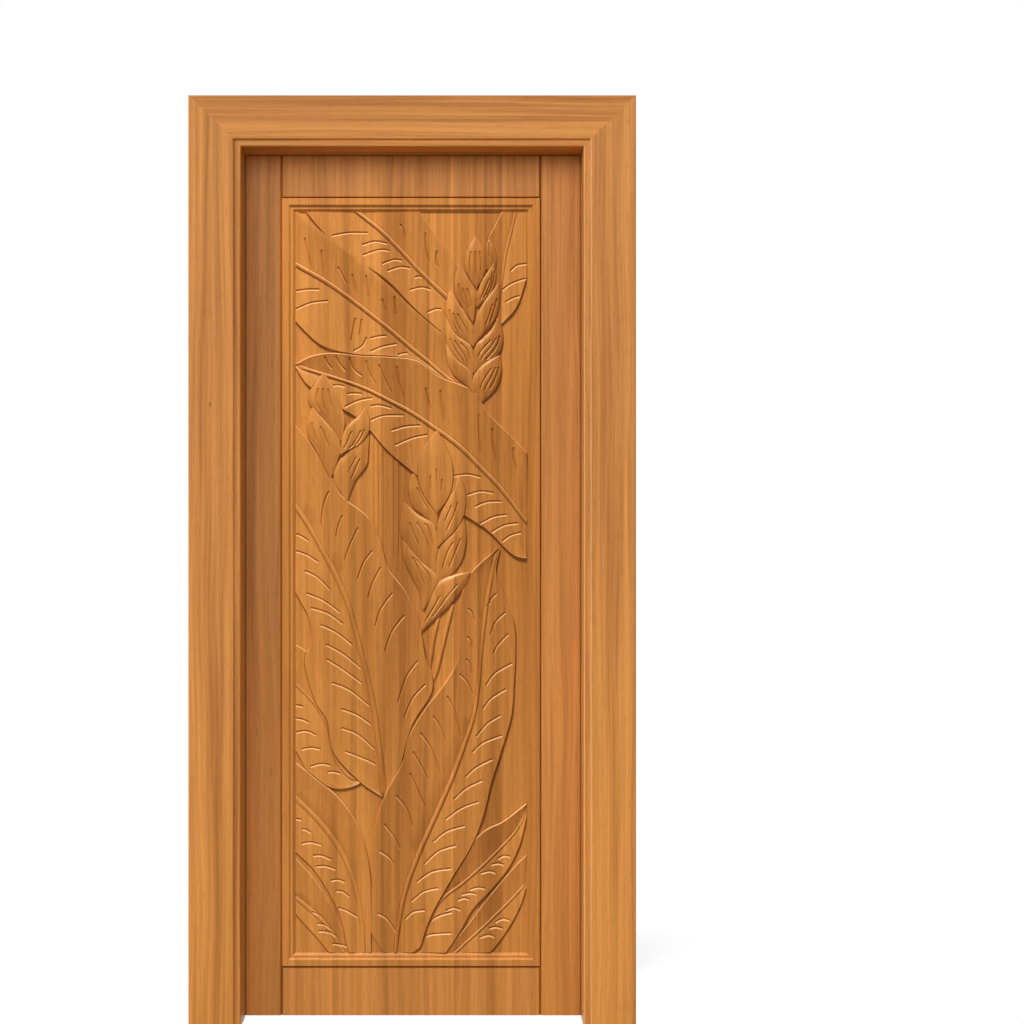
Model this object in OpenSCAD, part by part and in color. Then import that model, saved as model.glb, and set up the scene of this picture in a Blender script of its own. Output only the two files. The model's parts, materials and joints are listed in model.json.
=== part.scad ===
// Teak door with its frame: a framed leaf holding one carved panel, hung on three butt hinges
// in a rebated frame with a mitred casing on the front. Millimetres, Z up, front towards -Y.

/* [Door leaf] */
// Width of the leaf over both stiles
leaf_w = 813; // [700:1:1000]
// Height of the leaf
leaf_h = 2032; // [1900:1:2200]
// Thickness of the leaf
leaf_t = 40; // [36:0.5:50]
// Width of the stile on the hinge side
hinge_stile_w = 98; // [80:0.5:130]
// Width of the stile on the closing side
lock_stile_w = 107.5; // [80:0.5:130]
// Width of the top rail
top_rail_w = 112; // [90:0.5:150]
// Width of the bottom rail
bottom_rail_w = 114; // [90:0.5:200]
// Width of the bevel that makes the V joints on the front
joint_bevel = 3.5; // [2:0.25:6]
// Depth of that bevel
joint_depth = 7; // [3:0.25:9]
// Bevel on the inner arrises of the back
back_bevel = 3; // [1:0.25:5]
// Small bevel on the outer arrises
arris = 1.5; // [0.5:0.25:3]

/* [Panel joinery] */
// Width of the groove that holds the panel, and thickness of the tenons
groove_w = 12; // [8:0.5:14]
// Depth of the panel groove
groove_d = 12; // [8:0.5:15]
// Distance from the front face to the groove
groove_setback = 14; // [10.5:0.5:16]
// Length of the rail tenons
tenon_l = 45; // [30:1:60]
// Shoulder between a tenon and the outer edge of its rail
tenon_shoulder = 30; // [15:1:40]
// Play of the panel in its grooves
panel_play = 0.4; // [0.1:0.05:1]
// Play around the tenons
tenon_play = 0.1; // [0.05:0.05:0.5]
// Depth of the carved ground below the front face
ground_depth = 10; // [8:0.25:13]
// Depth of the plain back of the panel below the back face
back_recess = 8; // [4:0.5:10]

/* [Panel moulding] */
// Width of the moulding around the panel
moulding_w = 32; // [26:0.5:45]
// Width of the bevel on the outer edge of the moulding
moulding_bevel = 1.5; // [0.5:0.25:4]
// Width of the outer flat, from the V joint to the first step
moulding_flat = 16.5; // [12:0.5:20]
// Width of the sloping face of the first step
moulding_slope = 4; // [2:0.25:6]
// Drop of the first step
moulding_step = 4; // [2:0.25:6]
// Start of the second step
moulding_second = 26; // [24:0.25:30]
// Height of the lip that meets the ground
moulding_lip = 1.5; // [1:0.25:3]

/* [Carving] */
// Height of the rib along the middle of a frond
rib_h = 3; // [1:0.1:4]
// Half width of that rib
rib_w = 6.5; // [4:0.25:9]
// Width of the stop cut that sets in the outline of each form
stop_cut = 1; // [0.4:0.1:2]
// Width of the sloping edge of a frond
edge_w = 2.4; // [1:0.1:4]
// Height of a bract along its outer edge
bract_edge_h = 5.8; // [4:0.1:7]
// Height of a bract along the inner edge, where the next one rises behind it
bract_inner_h = 8.6; // [6:0.1:9]
// How far a bract sinks towards its lower end
bract_sink = 4; // [0:0.1:5]
// Height of a bract along its middle
bract_h = 9.4; // [7:0.1:9.5]
// Height of the stalks below the flowers
stem_h = 6.4; // [4:0.1:8]
// Half width of the stalks
stem_w = 4.5; // [3:0.25:6]
// Height of the reeds in the ground
reed_h = 2.2; // [1:0.1:4]
// Half width of a reed
reed_w = 5; // [3:0.25:7]

/* [Frame] */
// Gap between the leaf and the frame at both edges
side_gap = 3; // [2:0.25:5]
// Gap above the leaf
top_gap = 3; // [2:0.25:5]
// Gap below the leaf
floor_gap = 6; // [4:0.5:15]
// Gap between the face of the leaf and the stop of the frame
stop_gap = 1.5; // [0.5:0.25:3]
// Width of the rebate that takes the leaf
rebate_w = 15; // [10:0.5:20]
// Width of the frame timbers
jamb_w = 60; // [50:1:80]
// Depth of the frame timbers through the wall
jamb_depth = 115; // [95:1:160]
// Depth of the housing of the posts in the head
housing_d = 12; // [8:0.5:20]
// Play of the posts in the housing
housing_play = 0.2; // [0.1:0.05:0.5]

/* [Casing] */
// Width of the upright casings
casing_w = 120; // [90:1:160]
// Width of the head casing
casing_head_w = 116; // [90:1:160]
// Thickness of the casing
casing_t = 20; // [15:0.5:30]
// Width of the lower bead along the inner edge
bead_w = 15; // [8:0.5:25]
// Drop from the band to the bead
bead_drop = 7; // [3:0.5:10]
// Bevel on the edges of the casing
casing_bevel = 2; // [0.5:0.25:4]

/* [Hinges] */
// Length of a hinge
hinge_len = 102; // [76:1:127]
// Width of a hinge plate in the wood
plate_w = 32; // [25:0.5:36]
// Thickness of a hinge plate
plate_t = 2.5; // [2:0.1:3.5]
// Radius of the barrel
barrel_r = 5; // [4:0.1:6]
// Radius of the pin
pin_r = 3; // [2:0.1:3.5]
// Running clearance between pin and barrel
pin_play = 0.05; // [0.02:0.01:0.1]
// Gap between knuckles
knuckle_gap = 0.3; // [0.2:0.05:0.6]
// Distance of the pin behind the back face
pin_offset = 5.6; // [5.3:0.1:7]
// Height of the pin's cap
pin_cap_h = 3; // [2:0.25:5]
// Top of the leaf to the middle of the top hinge
top_hinge = 180; // [130:1:250]
// Bottom of the leaf to the middle of the bottom hinge
bottom_hinge = 230; // [150:1:300]

/* [Fixings] */
// Length of the hinge screws
screw_len = 30; // [20:1:40]
// Radius of the hinge screws
screw_r = 2.1; // [1.5:0.1:3]
// Radius of the screw heads
screw_head_r = 4.2; // [3.5:0.1:5]
// Play around a screw
screw_play = 0.15; // [0.1:0.05:0.3]
// Distance of the outer screws of a plate from the back face
screw_near = 10; // [8:0.5:14]
// Distance of the inner screws of a plate from the back face
screw_far = 22; // [18:0.5:26]
// Length of the screws in the corners of the frame
corner_screw_len = 110; // [95:1:130]
// Radius of the screws in the corners of the frame
corner_screw_r = 3; // [2:0.1:4]
// Head radius of the screws in the corners of the frame
corner_head_r = 6; // [4:0.1:8]
// Distance of those screws from the faces of the frame
corner_screw_in = 30; // [20:1:40]
// Distance of those screws from the opening
corner_screw_out = 36; // [30:1:45]
// Radius of the holes for the wall fixings
fixing_r = 4.25; // [3:0.25:6]
// Radius of the sinking for their heads
fixing_head_r = 9; // [6:0.25:12]
// Depth of that sinking
fixing_head_d = 8; // [4:0.5:12]
// Spacing of the inner pair of wall fixings
fixing_inner = 500; // [300:10:600]
// Spacing of the outer pair of wall fixings
fixing_outer = 1300; // [1000:10:1400]

/* [Hidden] */
$fn = 32;
depth = casing_t + jamb_depth + pin_offset + barrel_r;
opening_w = leaf_w + 2 * side_gap - 2 * rebate_w;
opening_h = floor_gap + leaf_h + top_gap - rebate_w;
leaf_bottom = floor_gap;
leaf_top = floor_gap + leaf_h;
leaf_left = -leaf_w / 2;
leaf_right = leaf_w / 2;
front_y = -depth / 2;
jamb_front_y = front_y + casing_t;
back_y = jamb_front_y + jamb_depth;
leaf_y = back_y - leaf_t;
stop_y = leaf_y - stop_gap;
wall_x = leaf_left - side_gap;
post_top = opening_h + housing_d;
head_top = opening_h + jamb_w;
// field inside the stiles and rails
field_left = leaf_left + hinge_stile_w;
field_right = leaf_right - lock_stile_w;
field_bottom = leaf_bottom + bottom_rail_w;
field_top = leaf_top - top_rail_w;
field_w = field_right - field_left;
field_h = field_top - field_bottom;
groove_y = leaf_y + groove_setback;
ground_y = leaf_y + ground_depth;
// area of the carving
art_left = field_left + moulding_w;
art_bottom = field_bottom + moulding_w;
art_w = field_w - 2 * moulding_w;
art_h = field_h - 2 * moulding_w;
// hinges
pin_x = leaf_left - side_gap / 2;
pin_y = back_y + pin_offset;
knuckles = 5;
knuckle_len = hinge_len / knuckles;
hinge_z_top = leaf_top - top_hinge;
hinge_z_bottom = leaf_bottom + bottom_hinge;
hinge_z_middle = (hinge_z_top + hinge_z_bottom) / 2;
hinge_zs = [hinge_z_bottom, hinge_z_middle, hinge_z_top];
// screws of one plate as [distance in from the back face, height from the middle of the hinge]
outer_screw_z = 0.39 * hinge_len;
inner_screw_z = 0.16 * hinge_len;
screw_places = [
    for (s = [-1, 1]) each [[screw_near, s * outer_screw_z], [screw_far, s * inner_screw_z]]
];
fixing_y = back_y - (leaf_t + stop_gap) / 2;
fixing_z = leaf_bottom + leaf_h / 2;
fixing_zs = [for (s = [-fixing_outer, -fixing_inner, fixing_inner, fixing_outer]) fixing_z + s / 2];
corner_screw_ys = [jamb_front_y + corner_screw_in, back_y - corner_screw_in];
corner_screw_x = opening_w / 2 + corner_screw_out;
// shape of the points of the screws and of the pin's ends, as parts of their radius and height
screw_point = 0.25;
pin_point = 0.8;
cap_rim = 0.92;
cap_top = 0.6;
cap_shoulder = 0.55;

// Drawing of the carving on a board 544 wide and 1742 high, from its lower left corner.
// Each line is one station of a frond, from its stalk to its tip: one edge, the rib, the other edge.
drawing_w = 544;
drawing_h = 1742;
frond_upper_left = [
    [404, 1408, 396, 1323, 386, 1318],
    [361, 1446, 356, 1352, 346, 1348],
    [321, 1476, 321, 1383, 291, 1383],
    [266, 1524, 276, 1420, 216, 1400],
    [201, 1586, 226, 1463, 126, 1408],
    [146, 1630, 176, 1503, 61, 1426],
    [91, 1672, 126, 1541, 14, 1466],
    [48, 1706, 76, 1576, -24, 1508],
    [-14, 1758, -1, 1620, -94, 1563],
    [-74, 1808, -64, 1658, -154, 1618],
];
frond_top_left = [
    [411, 1568, 406, 1496, 371, 1438],
    [356, 1653, 354, 1545, 291, 1505],
    [308, 1720, 298, 1598, 216, 1581],
    [266, 1778, 251, 1648, 146, 1628],
    [216, 1828, 201, 1698, 81, 1678],
    [166, 1878, 146, 1741, 26, 1741],
    [116, 1928, 96, 1788, -24, 1808],
];
frond_great_arch = [
    [640, 1090, 622, 915, 566, 929],
    [596, 1128, 586, 962, 512, 933],
    [544, 1178, 546, 1011, 448, 994],
    [501, 1223, 491, 1083, 371, 1044],
    [456, 1266, 441, 1136, 306, 1103],
    [416, 1323, 386, 1190, 251, 1148],
    [338, 1356, 336, 1228, 211, 1183],
    [286, 1393, 276, 1268, 154, 1248],
    [221, 1402, 226, 1295, 106, 1280],
    [151, 1405, 171, 1323, 61, 1310],
    [86, 1411, 116, 1344, 28, 1333],
    [36, 1404, 51, 1364, 10, 1356],
    [0, 1385, 1, 1380, 0, 1376],
];
frond_top_right = [
    [471, 1488, 479, 1476, 484, 1476],
    [469, 1538, 479, 1516, 521, 1516],
    [466, 1598, 483, 1563, 544, 1580],
    [451, 1668, 494, 1638, 566, 1658],
    [466, 1706, 506, 1688, 576, 1708],
    [491, 1753, 521, 1753, 586, 1768],
];
frond_left_middle = [
    [210, 370, 206, 365, 201, 368],
    [246, 436, 206, 398, 151, 401],
    [276, 538, 202, 448, 88, 470],
    [324, 623, 194, 503, 73, 545],
    [306, 698, 186, 563, 44, 593],
    [292, 778, 173, 628, 21, 678],
    [261, 848, 159, 688, 33, 728],
    [218, 906, 143, 753, 31, 783],
    [201, 968, 124, 818, 6, 833],
    [168, 1028, 96, 883, -34, 908],
    [111, 1073, 64, 943, -54, 968],
    [81, 1123, 33, 998, -74, 1018],
    [31, 1203, -9, 1063, -94, 1078],
    [-24, 1273, -54, 1123, -124, 1138],
];
frond_right_middle = [
    [178, 48, 231, -42, 296, 18],
    [179, 148, 239, 43, 321, 88],
    [180, 238, 254, 128, 364, 166],
    [191, 318, 276, 196, 414, 248],
    [216, 383, 306, 268, 444, 323],
    [251, 448, 338, 338, 462, 398],
    [268, 513, 371, 415, 484, 468],
    [306, 576, 398, 488, 510, 560],
    [348, 630, 418, 548, 516, 638],
    [381, 690, 429, 613, 519, 708],
    [386, 768, 436, 698, 516, 773],
    [389, 838, 446, 788, 494, 833],
    [414, 896, 461, 878, 473, 893],
    [476, 951, 479, 954, 482, 950],
];
frond_lower_left = [
    [179, 8, 164, -32, 126, -12],
    [179, 88, 158, 53, 104, 83],
    [178, 168, 146, 133, 78, 138],
    [168, 238, 124, 200, 38, 198],
    [146, 303, 94, 256, -14, 248],
    [104, 363, 54, 308, -44, 288],
    [51, 408, 6, 356, -74, 328],
    [-14, 460, -44, 400, -104, 368],
];
frond_left_small = [
    [181, 438, 171, 423, 158, 400],
    [156, 423, 136, 408, 126, 386],
    [136, 458, 104, 438, 86, 385],
    [116, 508, 86, 478, 36, 413],
    [101, 558, 76, 528, 1, 470],
    [66, 608, 46, 583, -44, 538],
    [6, 663, -9, 641, -94, 608],
];
frond_bottom_left = [
    [136, -2, 116, -12, 86, -12],
    [111, 53, 86, 43, 54, 28],
    [81, 118, 51, 85, 24, 61],
    [41, 178, 6, 123, -9, 98],
    [-14, 238, -44, 163, -54, 143],
];
frond_lower_right = [
    [251, 13, 256, -27, 354, -2],
    [276, 63, 284, 33, 388, 48],
    [311, 123, 311, 83, 418, 101],
    [356, 183, 348, 128, 448, 133],
    [406, 248, 391, 161, 471, 158],
    [446, 288, 436, 200, 504, 200],
    [486, 308, 481, 244, 528, 248],
    [516, 330, 519, 286, 540, 293],
    [546, 354, 548, 343, 549, 333],
];
frond_bottom_right = [
    [356, 8, 366, -12, 441, -22],
    [401, 60, 396, 18, 471, 13],
    [441, 113, 431, 50, 494, 43],
    [481, 163, 471, 88, 516, 78],
    [521, 208, 508, 125, 534, 116],
    [546, 233, 538, 158, 544, 151],
];
flower_upper = [
    [
        [422, 1676, 424, 1678, 426, 1676],
        [403, 1643, 424, 1643, 444, 1645],
        [398, 1613, 425, 1608, 450, 1613],
        [409, 1586, 426, 1583, 439, 1583],
        [424, 1564, 426, 1562, 428, 1564],
    ],
    [
        [454, 1676, 456, 1678, 458, 1676],
        [448, 1660, 460, 1658, 470, 1653],
        [446, 1633, 461, 1630, 474, 1628],
        [448, 1608, 460, 1603, 471, 1603],
    ],
    [
        [467, 1625, 468, 1626, 469, 1624],
        [452, 1600, 462, 1596, 472, 1593],
        [438, 1578, 454, 1568, 468, 1566],
        [428, 1548, 441, 1540, 456, 1544],
        [424, 1522, 428, 1518, 433, 1522],
    ],
    [
        [380, 1613, 384, 1616, 389, 1614],
        [374, 1583, 388, 1583, 404, 1588],
        [376, 1548, 394, 1550, 416, 1560],
        [391, 1520, 404, 1520, 424, 1538],
        [413, 1486, 416, 1482, 420, 1488],
    ],
    [
        [477, 1573, 479, 1575, 481, 1572],
        [459, 1550, 470, 1546, 481, 1543],
        [439, 1523, 458, 1513, 478, 1513],
        [424, 1488, 444, 1473, 466, 1483],
        [416, 1430, 419, 1426, 424, 1432],
    ],
    [
        [360, 1553, 364, 1556, 369, 1552],
        [353, 1523, 366, 1523, 381, 1530],
        [354, 1488, 374, 1488, 398, 1503],
        [371, 1456, 391, 1456, 414, 1478],
        [413, 1430, 417, 1425, 420, 1433],
    ],
    [
        [474, 1490, 479, 1493, 482, 1488],
        [461, 1465, 476, 1456, 488, 1453],
        [441, 1445, 462, 1428, 483, 1418],
        [422, 1423, 441, 1403, 461, 1390],
        [414, 1373, 419, 1363, 426, 1368],
    ],
    [
        [352, 1493, 355, 1496, 359, 1491],
        [352, 1453, 364, 1458, 378, 1453],
        [359, 1418, 378, 1423, 401, 1438],
        [381, 1388, 398, 1393, 416, 1418],
        [411, 1353, 414, 1348, 418, 1356],
    ],
    [
        [476, 1403, 480, 1405, 482, 1401],
        [454, 1393, 472, 1383, 485, 1378],
        [428, 1370, 456, 1353, 481, 1348],
        [416, 1340, 441, 1326, 469, 1323],
        [433, 1296, 436, 1292, 442, 1296],
    ],
    [
        [352, 1428, 355, 1431, 359, 1426],
        [356, 1393, 368, 1396, 381, 1393],
        [371, 1360, 388, 1366, 406, 1375],
        [396, 1338, 406, 1340, 416, 1348],
        [416, 1318, 419, 1314, 422, 1320],
    ],
];
flower_left = [
    [
        [63, 1361, 66, 1364, 69, 1361],
        [36, 1326, 64, 1323, 89, 1328],
        [31, 1293, 66, 1283, 108, 1283],
        [61, 1256, 86, 1248, 116, 1250],
        [102, 1206, 106, 1202, 110, 1206],
    ],
    [
        [38, 1280, 41, 1284, 45, 1279],
        [26, 1248, 46, 1245, 71, 1250],
        [30, 1213, 58, 1210, 96, 1220],
        [54, 1168, 76, 1166, 106, 1183],
        [78, 1120, 81, 1116, 86, 1122],
    ],
    [
        [168, 1226, 171, 1230, 174, 1225],
        [121, 1178, 151, 1173, 172, 1178],
        [91, 1138, 131, 1133, 168, 1146],
        [96, 1103, 121, 1096, 141, 1110],
        [118, 1063, 121, 1059, 124, 1065],
    ],
    [
        [161, 1278, 164, 1282, 167, 1278],
        [141, 1256, 158, 1250, 174, 1253],
        [118, 1233, 146, 1220, 173, 1226],
        [109, 1203, 131, 1193, 154, 1198],
        [104, 1175, 108, 1171, 113, 1176],
    ],
];
flower_middle = [
    [
        [274, 1126, 278, 1129, 282, 1125],
        [265, 1088, 280, 1088, 296, 1093],
        [276, 1048, 294, 1051, 316, 1060],
        [301, 1028, 314, 1026, 333, 1036],
        [326, 1000, 329, 996, 333, 1003],
    ],
    [
        [383, 1118, 386, 1121, 389, 1116],
        [371, 1086, 386, 1080, 401, 1080],
        [351, 1053, 376, 1038, 398, 1033],
        [334, 1008, 356, 993, 378, 996],
        [332, 960, 336, 954, 342, 960],
    ],
    [
        [251, 1058, 254, 1061, 258, 1057],
        [246, 1018, 266, 1020, 291, 1028],
        [248, 978, 281, 978, 326, 1006],
        [276, 933, 304, 933, 334, 958],
        [324, 893, 328, 888, 333, 896],
    ],
    [
        [391, 1023, 395, 1026, 398, 1020],
        [371, 988, 388, 978, 402, 978],
        [338, 956, 371, 938, 396, 933],
        [330, 908, 354, 898, 376, 898],
        [330, 870, 334, 865, 340, 870],
    ],
    [
        [249, 968, 252, 972, 256, 966],
        [254, 928, 276, 928, 298, 918],
        [271, 888, 294, 888, 328, 893],
        [291, 848, 306, 853, 333, 868],
        [296, 813, 301, 806, 308, 816],
    ],
    [
        [407, 894, 412, 897, 413, 892],
        [371, 888, 391, 876, 404, 870],
        [334, 868, 361, 843, 384, 843],
        [314, 823, 336, 808, 356, 810],
        [290, 763, 294, 754, 304, 760],
    ],
    [
        [331, 1226, 333, 1229, 335, 1226],
        [306, 1193, 332, 1188, 354, 1193],
        [289, 1148, 331, 1138, 370, 1148],
        [290, 1103, 331, 1093, 370, 1098],
        [309, 1063, 332, 1058, 356, 1063],
        [331, 1036, 333, 1032, 336, 1037],
    ],
];
stems = [
    [[371, 823], [354, 753], [334, 668], [324, 636]],
    [[338, 793], [324, 733], [316, 668]],
    [[294, 753], [300, 716], [308, 680]],
];
// fronds from the back one to the front one, each with its height in the troughs beside the rib,
// along the first edge and along the second edge
fronds = [
    [frond_bottom_left, 0.6, 3.2, 4.2],
    [frond_lower_left, 0.6, 5.2, 5.2],
    [frond_left_small, 1.0, 4.0, 5.6],
    [frond_bottom_right, 0.8, 3.6, 4.6],
    [frond_top_right, 1.5, 4.5, 6.0],
    [frond_upper_left, 0.8, 6.6, 6.4],
    [frond_top_left, 0.8, 5.6, 6.8],
    [frond_great_arch, 1.0, 7.0, 7.2],
    [frond_left_middle, 0.8, 6.4, 6.8],
    [frond_right_middle, 0.8, 7.4, 7.4],
    [frond_lower_right, 1.0, 6.8, 6.0],
];
// sideways lean from which a bract has an inner edge, and where along it the sinking begins
bract_lean = 20;
sink_from = 0.45;
// all forms from the back one to the front one, the bracts with the side of their inner edge
forms = concat(
    fronds,
    [for (flower = [flower_upper, flower_left, flower_middle]) for (rows = flower) [rows, inner_side(rows)]]
);
// positions of the reeds that stand in the ground beside the middle flower
reed_us = [180, 191, 202, 226, 238];
reed_bottom = 900;
reed_top = 1260;
frond_steps = 2;
bract_steps = 2;
// how far a carved form reaches down into the board, and how much longer its clearance is
root = 2;
stretch = 0.1;
// curve of a trough, place of its middle point, and height at the foot of a sloping edge
trough_curve = 1.25;
trough_middle = 0.6;
edge_foot = 0.4;
// place and drop of the point between the middle and the edge of a bract
pillow_place = 0.55;
pillow_drop = 0.3;
// radius of a stalk's top as a part of its foot
stalk_crown = 0.3;

teak = [0.72, 0.44, 0.2];
teak_light = [0.78, 0.5, 0.25];
metal = [0.72, 0.58, 0.3];

// smooth curve through the stations of a form

function station(rows, i) = rows[max(0, min(len(rows) - 1, i))];

function between(rows, i, f) =
    let (a = station(rows, i - 1), b = station(rows, i), c = station(rows, i + 1), d = station(rows, i + 2))
    0.5 * (2 * b + (c - a) * f + (2 * a - 5 * b + 4 * c - d) * f * f + (3 * b - a - 3 * c + d) * f * f * f);

function smoothed(rows, steps) = [
    for (i = [0 : len(rows) - 2]) for (j = [0 : steps - 1]) between(rows, i, j / steps),
    rows[len(rows) - 1]
];

// place on the board of a point of the drawing, raised above the ground
function placed(p, h) = [
    art_left + p[0] * art_w / drawing_w,
    ground_y - h,
    art_bottom + p[1] * art_h / drawing_h
];

function mix2(a, b, f) = a + (b - a) * f;

// part of the way from rib to edge that the rib takes up
function rib_share(rib, edge) = min(0.35, rib_w / max(1, norm(edge - rib)));

// part of the way from rib to edge where the edge begins to slope down
function edge_share(rib, edge) = 1 - min(0.2, edge_w / max(1, norm(edge - rib)));

function trough(low, high, f) = low + (high - low) * pow(f, trough_curve);

// closed section of a frond: the carved surface from edge to edge, then back under the ground
function frond_section(row, low, high_a, high_b) =
    let (a = [row[0], row[1]], m = [row[2], row[3]], b = [row[4], row[5]])
    let (sa = rib_share(m, a), sb = rib_share(m, b))
    [
        placed(a, high_a * edge_foot),
        placed(mix2(m, a, edge_share(m, a)), high_a),
        placed(mix2(m, a, trough_middle), trough(low, high_a, trough_middle)),
        placed(mix2(m, a, sa), trough(low, high_a, sa)),
        placed(m, low + rib_h),
        placed(mix2(m, b, sb), trough(low, high_b, sb)),
        placed(mix2(m, b, trough_middle), trough(low, high_b, trough_middle)),
        placed(mix2(m, b, edge_share(m, b)), high_b),
        placed(b, high_b * edge_foot),
        placed(b, -root),
        placed(m, -root),
        placed(a, -root)
    ];

// side of the edge that faces the middle of the flower: 1 first, -1 second, 0 none
function inner_side(rows) =
    let (lean = rows[0][2] - rows[len(rows) - 1][2])
    abs(lean) < bract_lean ? 0 : sign(lean);

// part of its full height that a bract with an inner edge keeps this far along
function bract_share(side, along) =
    1 - abs(side) * bract_sink / bract_h * max(0, along - sink_from) / (1 - sink_from);

// closed section of a bract: a pillow from edge to edge, fuller on its inner side
function bract_section(row, side, along) =
    let (a = [row[0], row[1]], m = [row[2], row[3]], b = [row[4], row[5]])
    let (share = bract_share(side, along), crown = share * bract_h)
    let (edge_a = share * (side > 0 ? bract_inner_h : bract_edge_h))
    let (edge_b = share * (side < 0 ? bract_inner_h : bract_edge_h))
    [
        placed(a, edge_a),
        placed(mix2(m, a, pillow_place), mix2(crown, edge_a, pillow_drop)),
        placed(m, crown),
        placed(mix2(m, b, pillow_place), mix2(crown, edge_b, pillow_drop)),
        placed(b, edge_b),
        placed(b, -root),
        placed(m, -root),
        placed(a, -root)
    ];

// closed section of the space that a form and the stop cut around it take up
function clearance_section(row) =
    let (a = [row[0], row[1]], m = [row[2], row[3]], b = [row[4], row[5]])
    let (oa = a + (a - m) * stop_cut / norm(a - m), ob = b + (b - m) * stop_cut / norm(b - m))
    [
        placed(oa, ground_depth + root),
        placed(m, ground_depth + root),
        placed(ob, ground_depth + root),
        placed(ob, -root / 2),
        placed(m, -root / 2),
        placed(oa, -root / 2)
    ];

// rows with one more at each end, a little further out
function stretched(rows) =
    let (last = len(rows) - 1)
    concat(
        [rows[0] + (rows[0] - rows[1]) * stretch],
        rows,
        [rows[last] + (rows[last] - rows[last - 1]) * stretch]
    );

// true where the drawing of a form runs the other way round
function turned(row_a, row_b) =
    (row_a[4] - row_a[0]) * (row_b[3] - row_a[3]) - (row_a[5] - row_a[1]) * (row_b[2] - row_a[2]) < 0;

// skin over a row of sections; the ends are fans about the foot of the rib, the last but one point
module skin(sections, flip) {
    rows = len(sections);
    n = len(sections[0]);
    sides = [
        for (i = [0 : rows - 2]) for (j = [0 : n - 1])
            let (a = i * n + j, b = i * n + (j + 1) % n)
            each [[a, b, b + n], [a, b + n, a + n]]
    ];
    hub = n - 2;
    first = [for (j = [0 : n - 1]) if (j != hub && (j + 1) % n != hub) [hub, (j + 1) % n, j]];
    end = (rows - 1) * n;
    last = [for (f = first) [end + f[0], end + f[2], end + f[1]]];
    faces = concat(sides, first, last);
    polyhedron(
        points = [for (s = sections) each s],
        faces = flip ? faces : [for (f = faces) [f[2], f[1], f[0]]],
        convexity = 6
    );
}

// a frond comes with its three heights, a bract with the side of its inner edge
function is_frond(f) = len(f) > 2;

function form_rows(f) = smoothed(f[0], is_frond(f) ? frond_steps : bract_steps);

module form(f) {
    rows = form_rows(f);
    last = len(rows) - 1;
    sections = [
        for (i = [0 : last])
            is_frond(f) ? frond_section(rows[i], f[1], f[2], f[3]) : bract_section(rows[i], f[1], i / last)
    ];
    skin(sections, turned(rows[2], rows[4]));
}

// what the forms behind give up to this one
module clearance(f) {
    rows = stretched(form_rows(f));
    skin([for (r = rows) clearance_section(r)], turned(rows[2], rows[4]));
}

// half round stalk from one point of the drawing to the next
module stalk(p, q, w, h) {
    hull() {
        for (e = [p, q])
            translate(placed(e, -root))
                rotate([90, 0, 0])
                    cylinder(r1 = w, r2 = w * stalk_crown, h = h + root, $fn = 8);
    }
}

module stalks_and_reeds() {
    for (s = stems) for (i = [0 : len(s) - 2]) stalk(s[i], s[i + 1], stem_w, stem_h);
    for (u = reed_us) stalk([u, reed_bottom], [u, reed_top], reed_w, reed_h);
}

// the first forms laid one over the other on the stalks and reeds
module layered(count) {
    if (count == 0) {
        stalks_and_reeds();
    } else {
        difference() {
            layered(count - 1);
            clearance(forms[count - 1]);
        }
        form(forms[count - 1]);
    }
}

module carved_panel() {
    tongue = groove_d - 2 * panel_play;
    body_t = leaf_t - ground_depth - back_recess;
    color(teak) union() {
        translate([field_left + panel_play, ground_y, field_bottom + panel_play])
            cube([field_w - 2 * panel_play, body_t, field_h - 2 * panel_play]);
        translate([field_left - tongue, groove_y + panel_play, field_bottom - tongue])
            cube([field_w + 2 * tongue, groove_w - 2 * panel_play, field_h + 2 * tongue]);
        intersection() {
            layered(len(forms));
            translate([art_left + panel_play, leaf_y, art_bottom + panel_play])
                cube([art_w - 2 * panel_play, ground_depth + root, art_h - 2 * panel_play]);
        }
    }
}

// frame timbers

function post_outline(grow) = [
    [-opening_w / 2 - jamb_w - grow, jamb_front_y - grow],
    [-opening_w / 2 + grow, jamb_front_y - grow],
    [-opening_w / 2 + grow, stop_y + grow],
    [wall_x + grow, stop_y + grow],
    [wall_x + grow, back_y + grow],
    [-opening_w / 2 - jamb_w - grow, back_y + grow]
];

module wall_fixing_holes() {
    for (z = fixing_zs) translate([wall_x, fixing_y, z]) rotate([0, -90, 0]) {
        translate([0, 0, -1]) cylinder(r = fixing_r, h = jamb_w + 2);
        translate([0, 0, -1]) cylinder(r = fixing_head_r, h = fixing_head_d + 1);
    }
}

module screw_body(length, r, head_r, head_h, play) {
    rotate_extrude()
        polygon([
            [0, 0],
            [head_r + play, 0],
            [r + play, head_h],
            [r + play, length - 2 * r],
            [r * screw_point + play, length + play],
            [0, length + play]
        ]);
}

module hinge_screw(play) {
    screw_body(screw_len, screw_r, screw_head_r, plate_t, play);
}

module corner_screw(play) {
    screw_body(corner_screw_len, corner_screw_r, corner_head_r, corner_head_r, play);
}

module frame_screw_places(z) {
    for (p = screw_places)
        translate([wall_x, back_y - p[0], z + p[1]]) rotate([0, -90, 0]) children();
}

module door_screw_places(z) {
    for (p = screw_places)
        translate([leaf_left, back_y - p[0], z + p[1]]) rotate([0, 90, 0]) children();
}

module corner_screw_places(side) {
    for (y = corner_screw_ys)
        translate([side * corner_screw_x, y, head_top]) rotate([180, 0, 0]) children();
}

module post() {
    difference() {
        linear_extrude(post_top) polygon(post_outline(0));
        wall_fixing_holes();
        corner_screw_places(-1) corner_screw(screw_play);
    }
}

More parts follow.
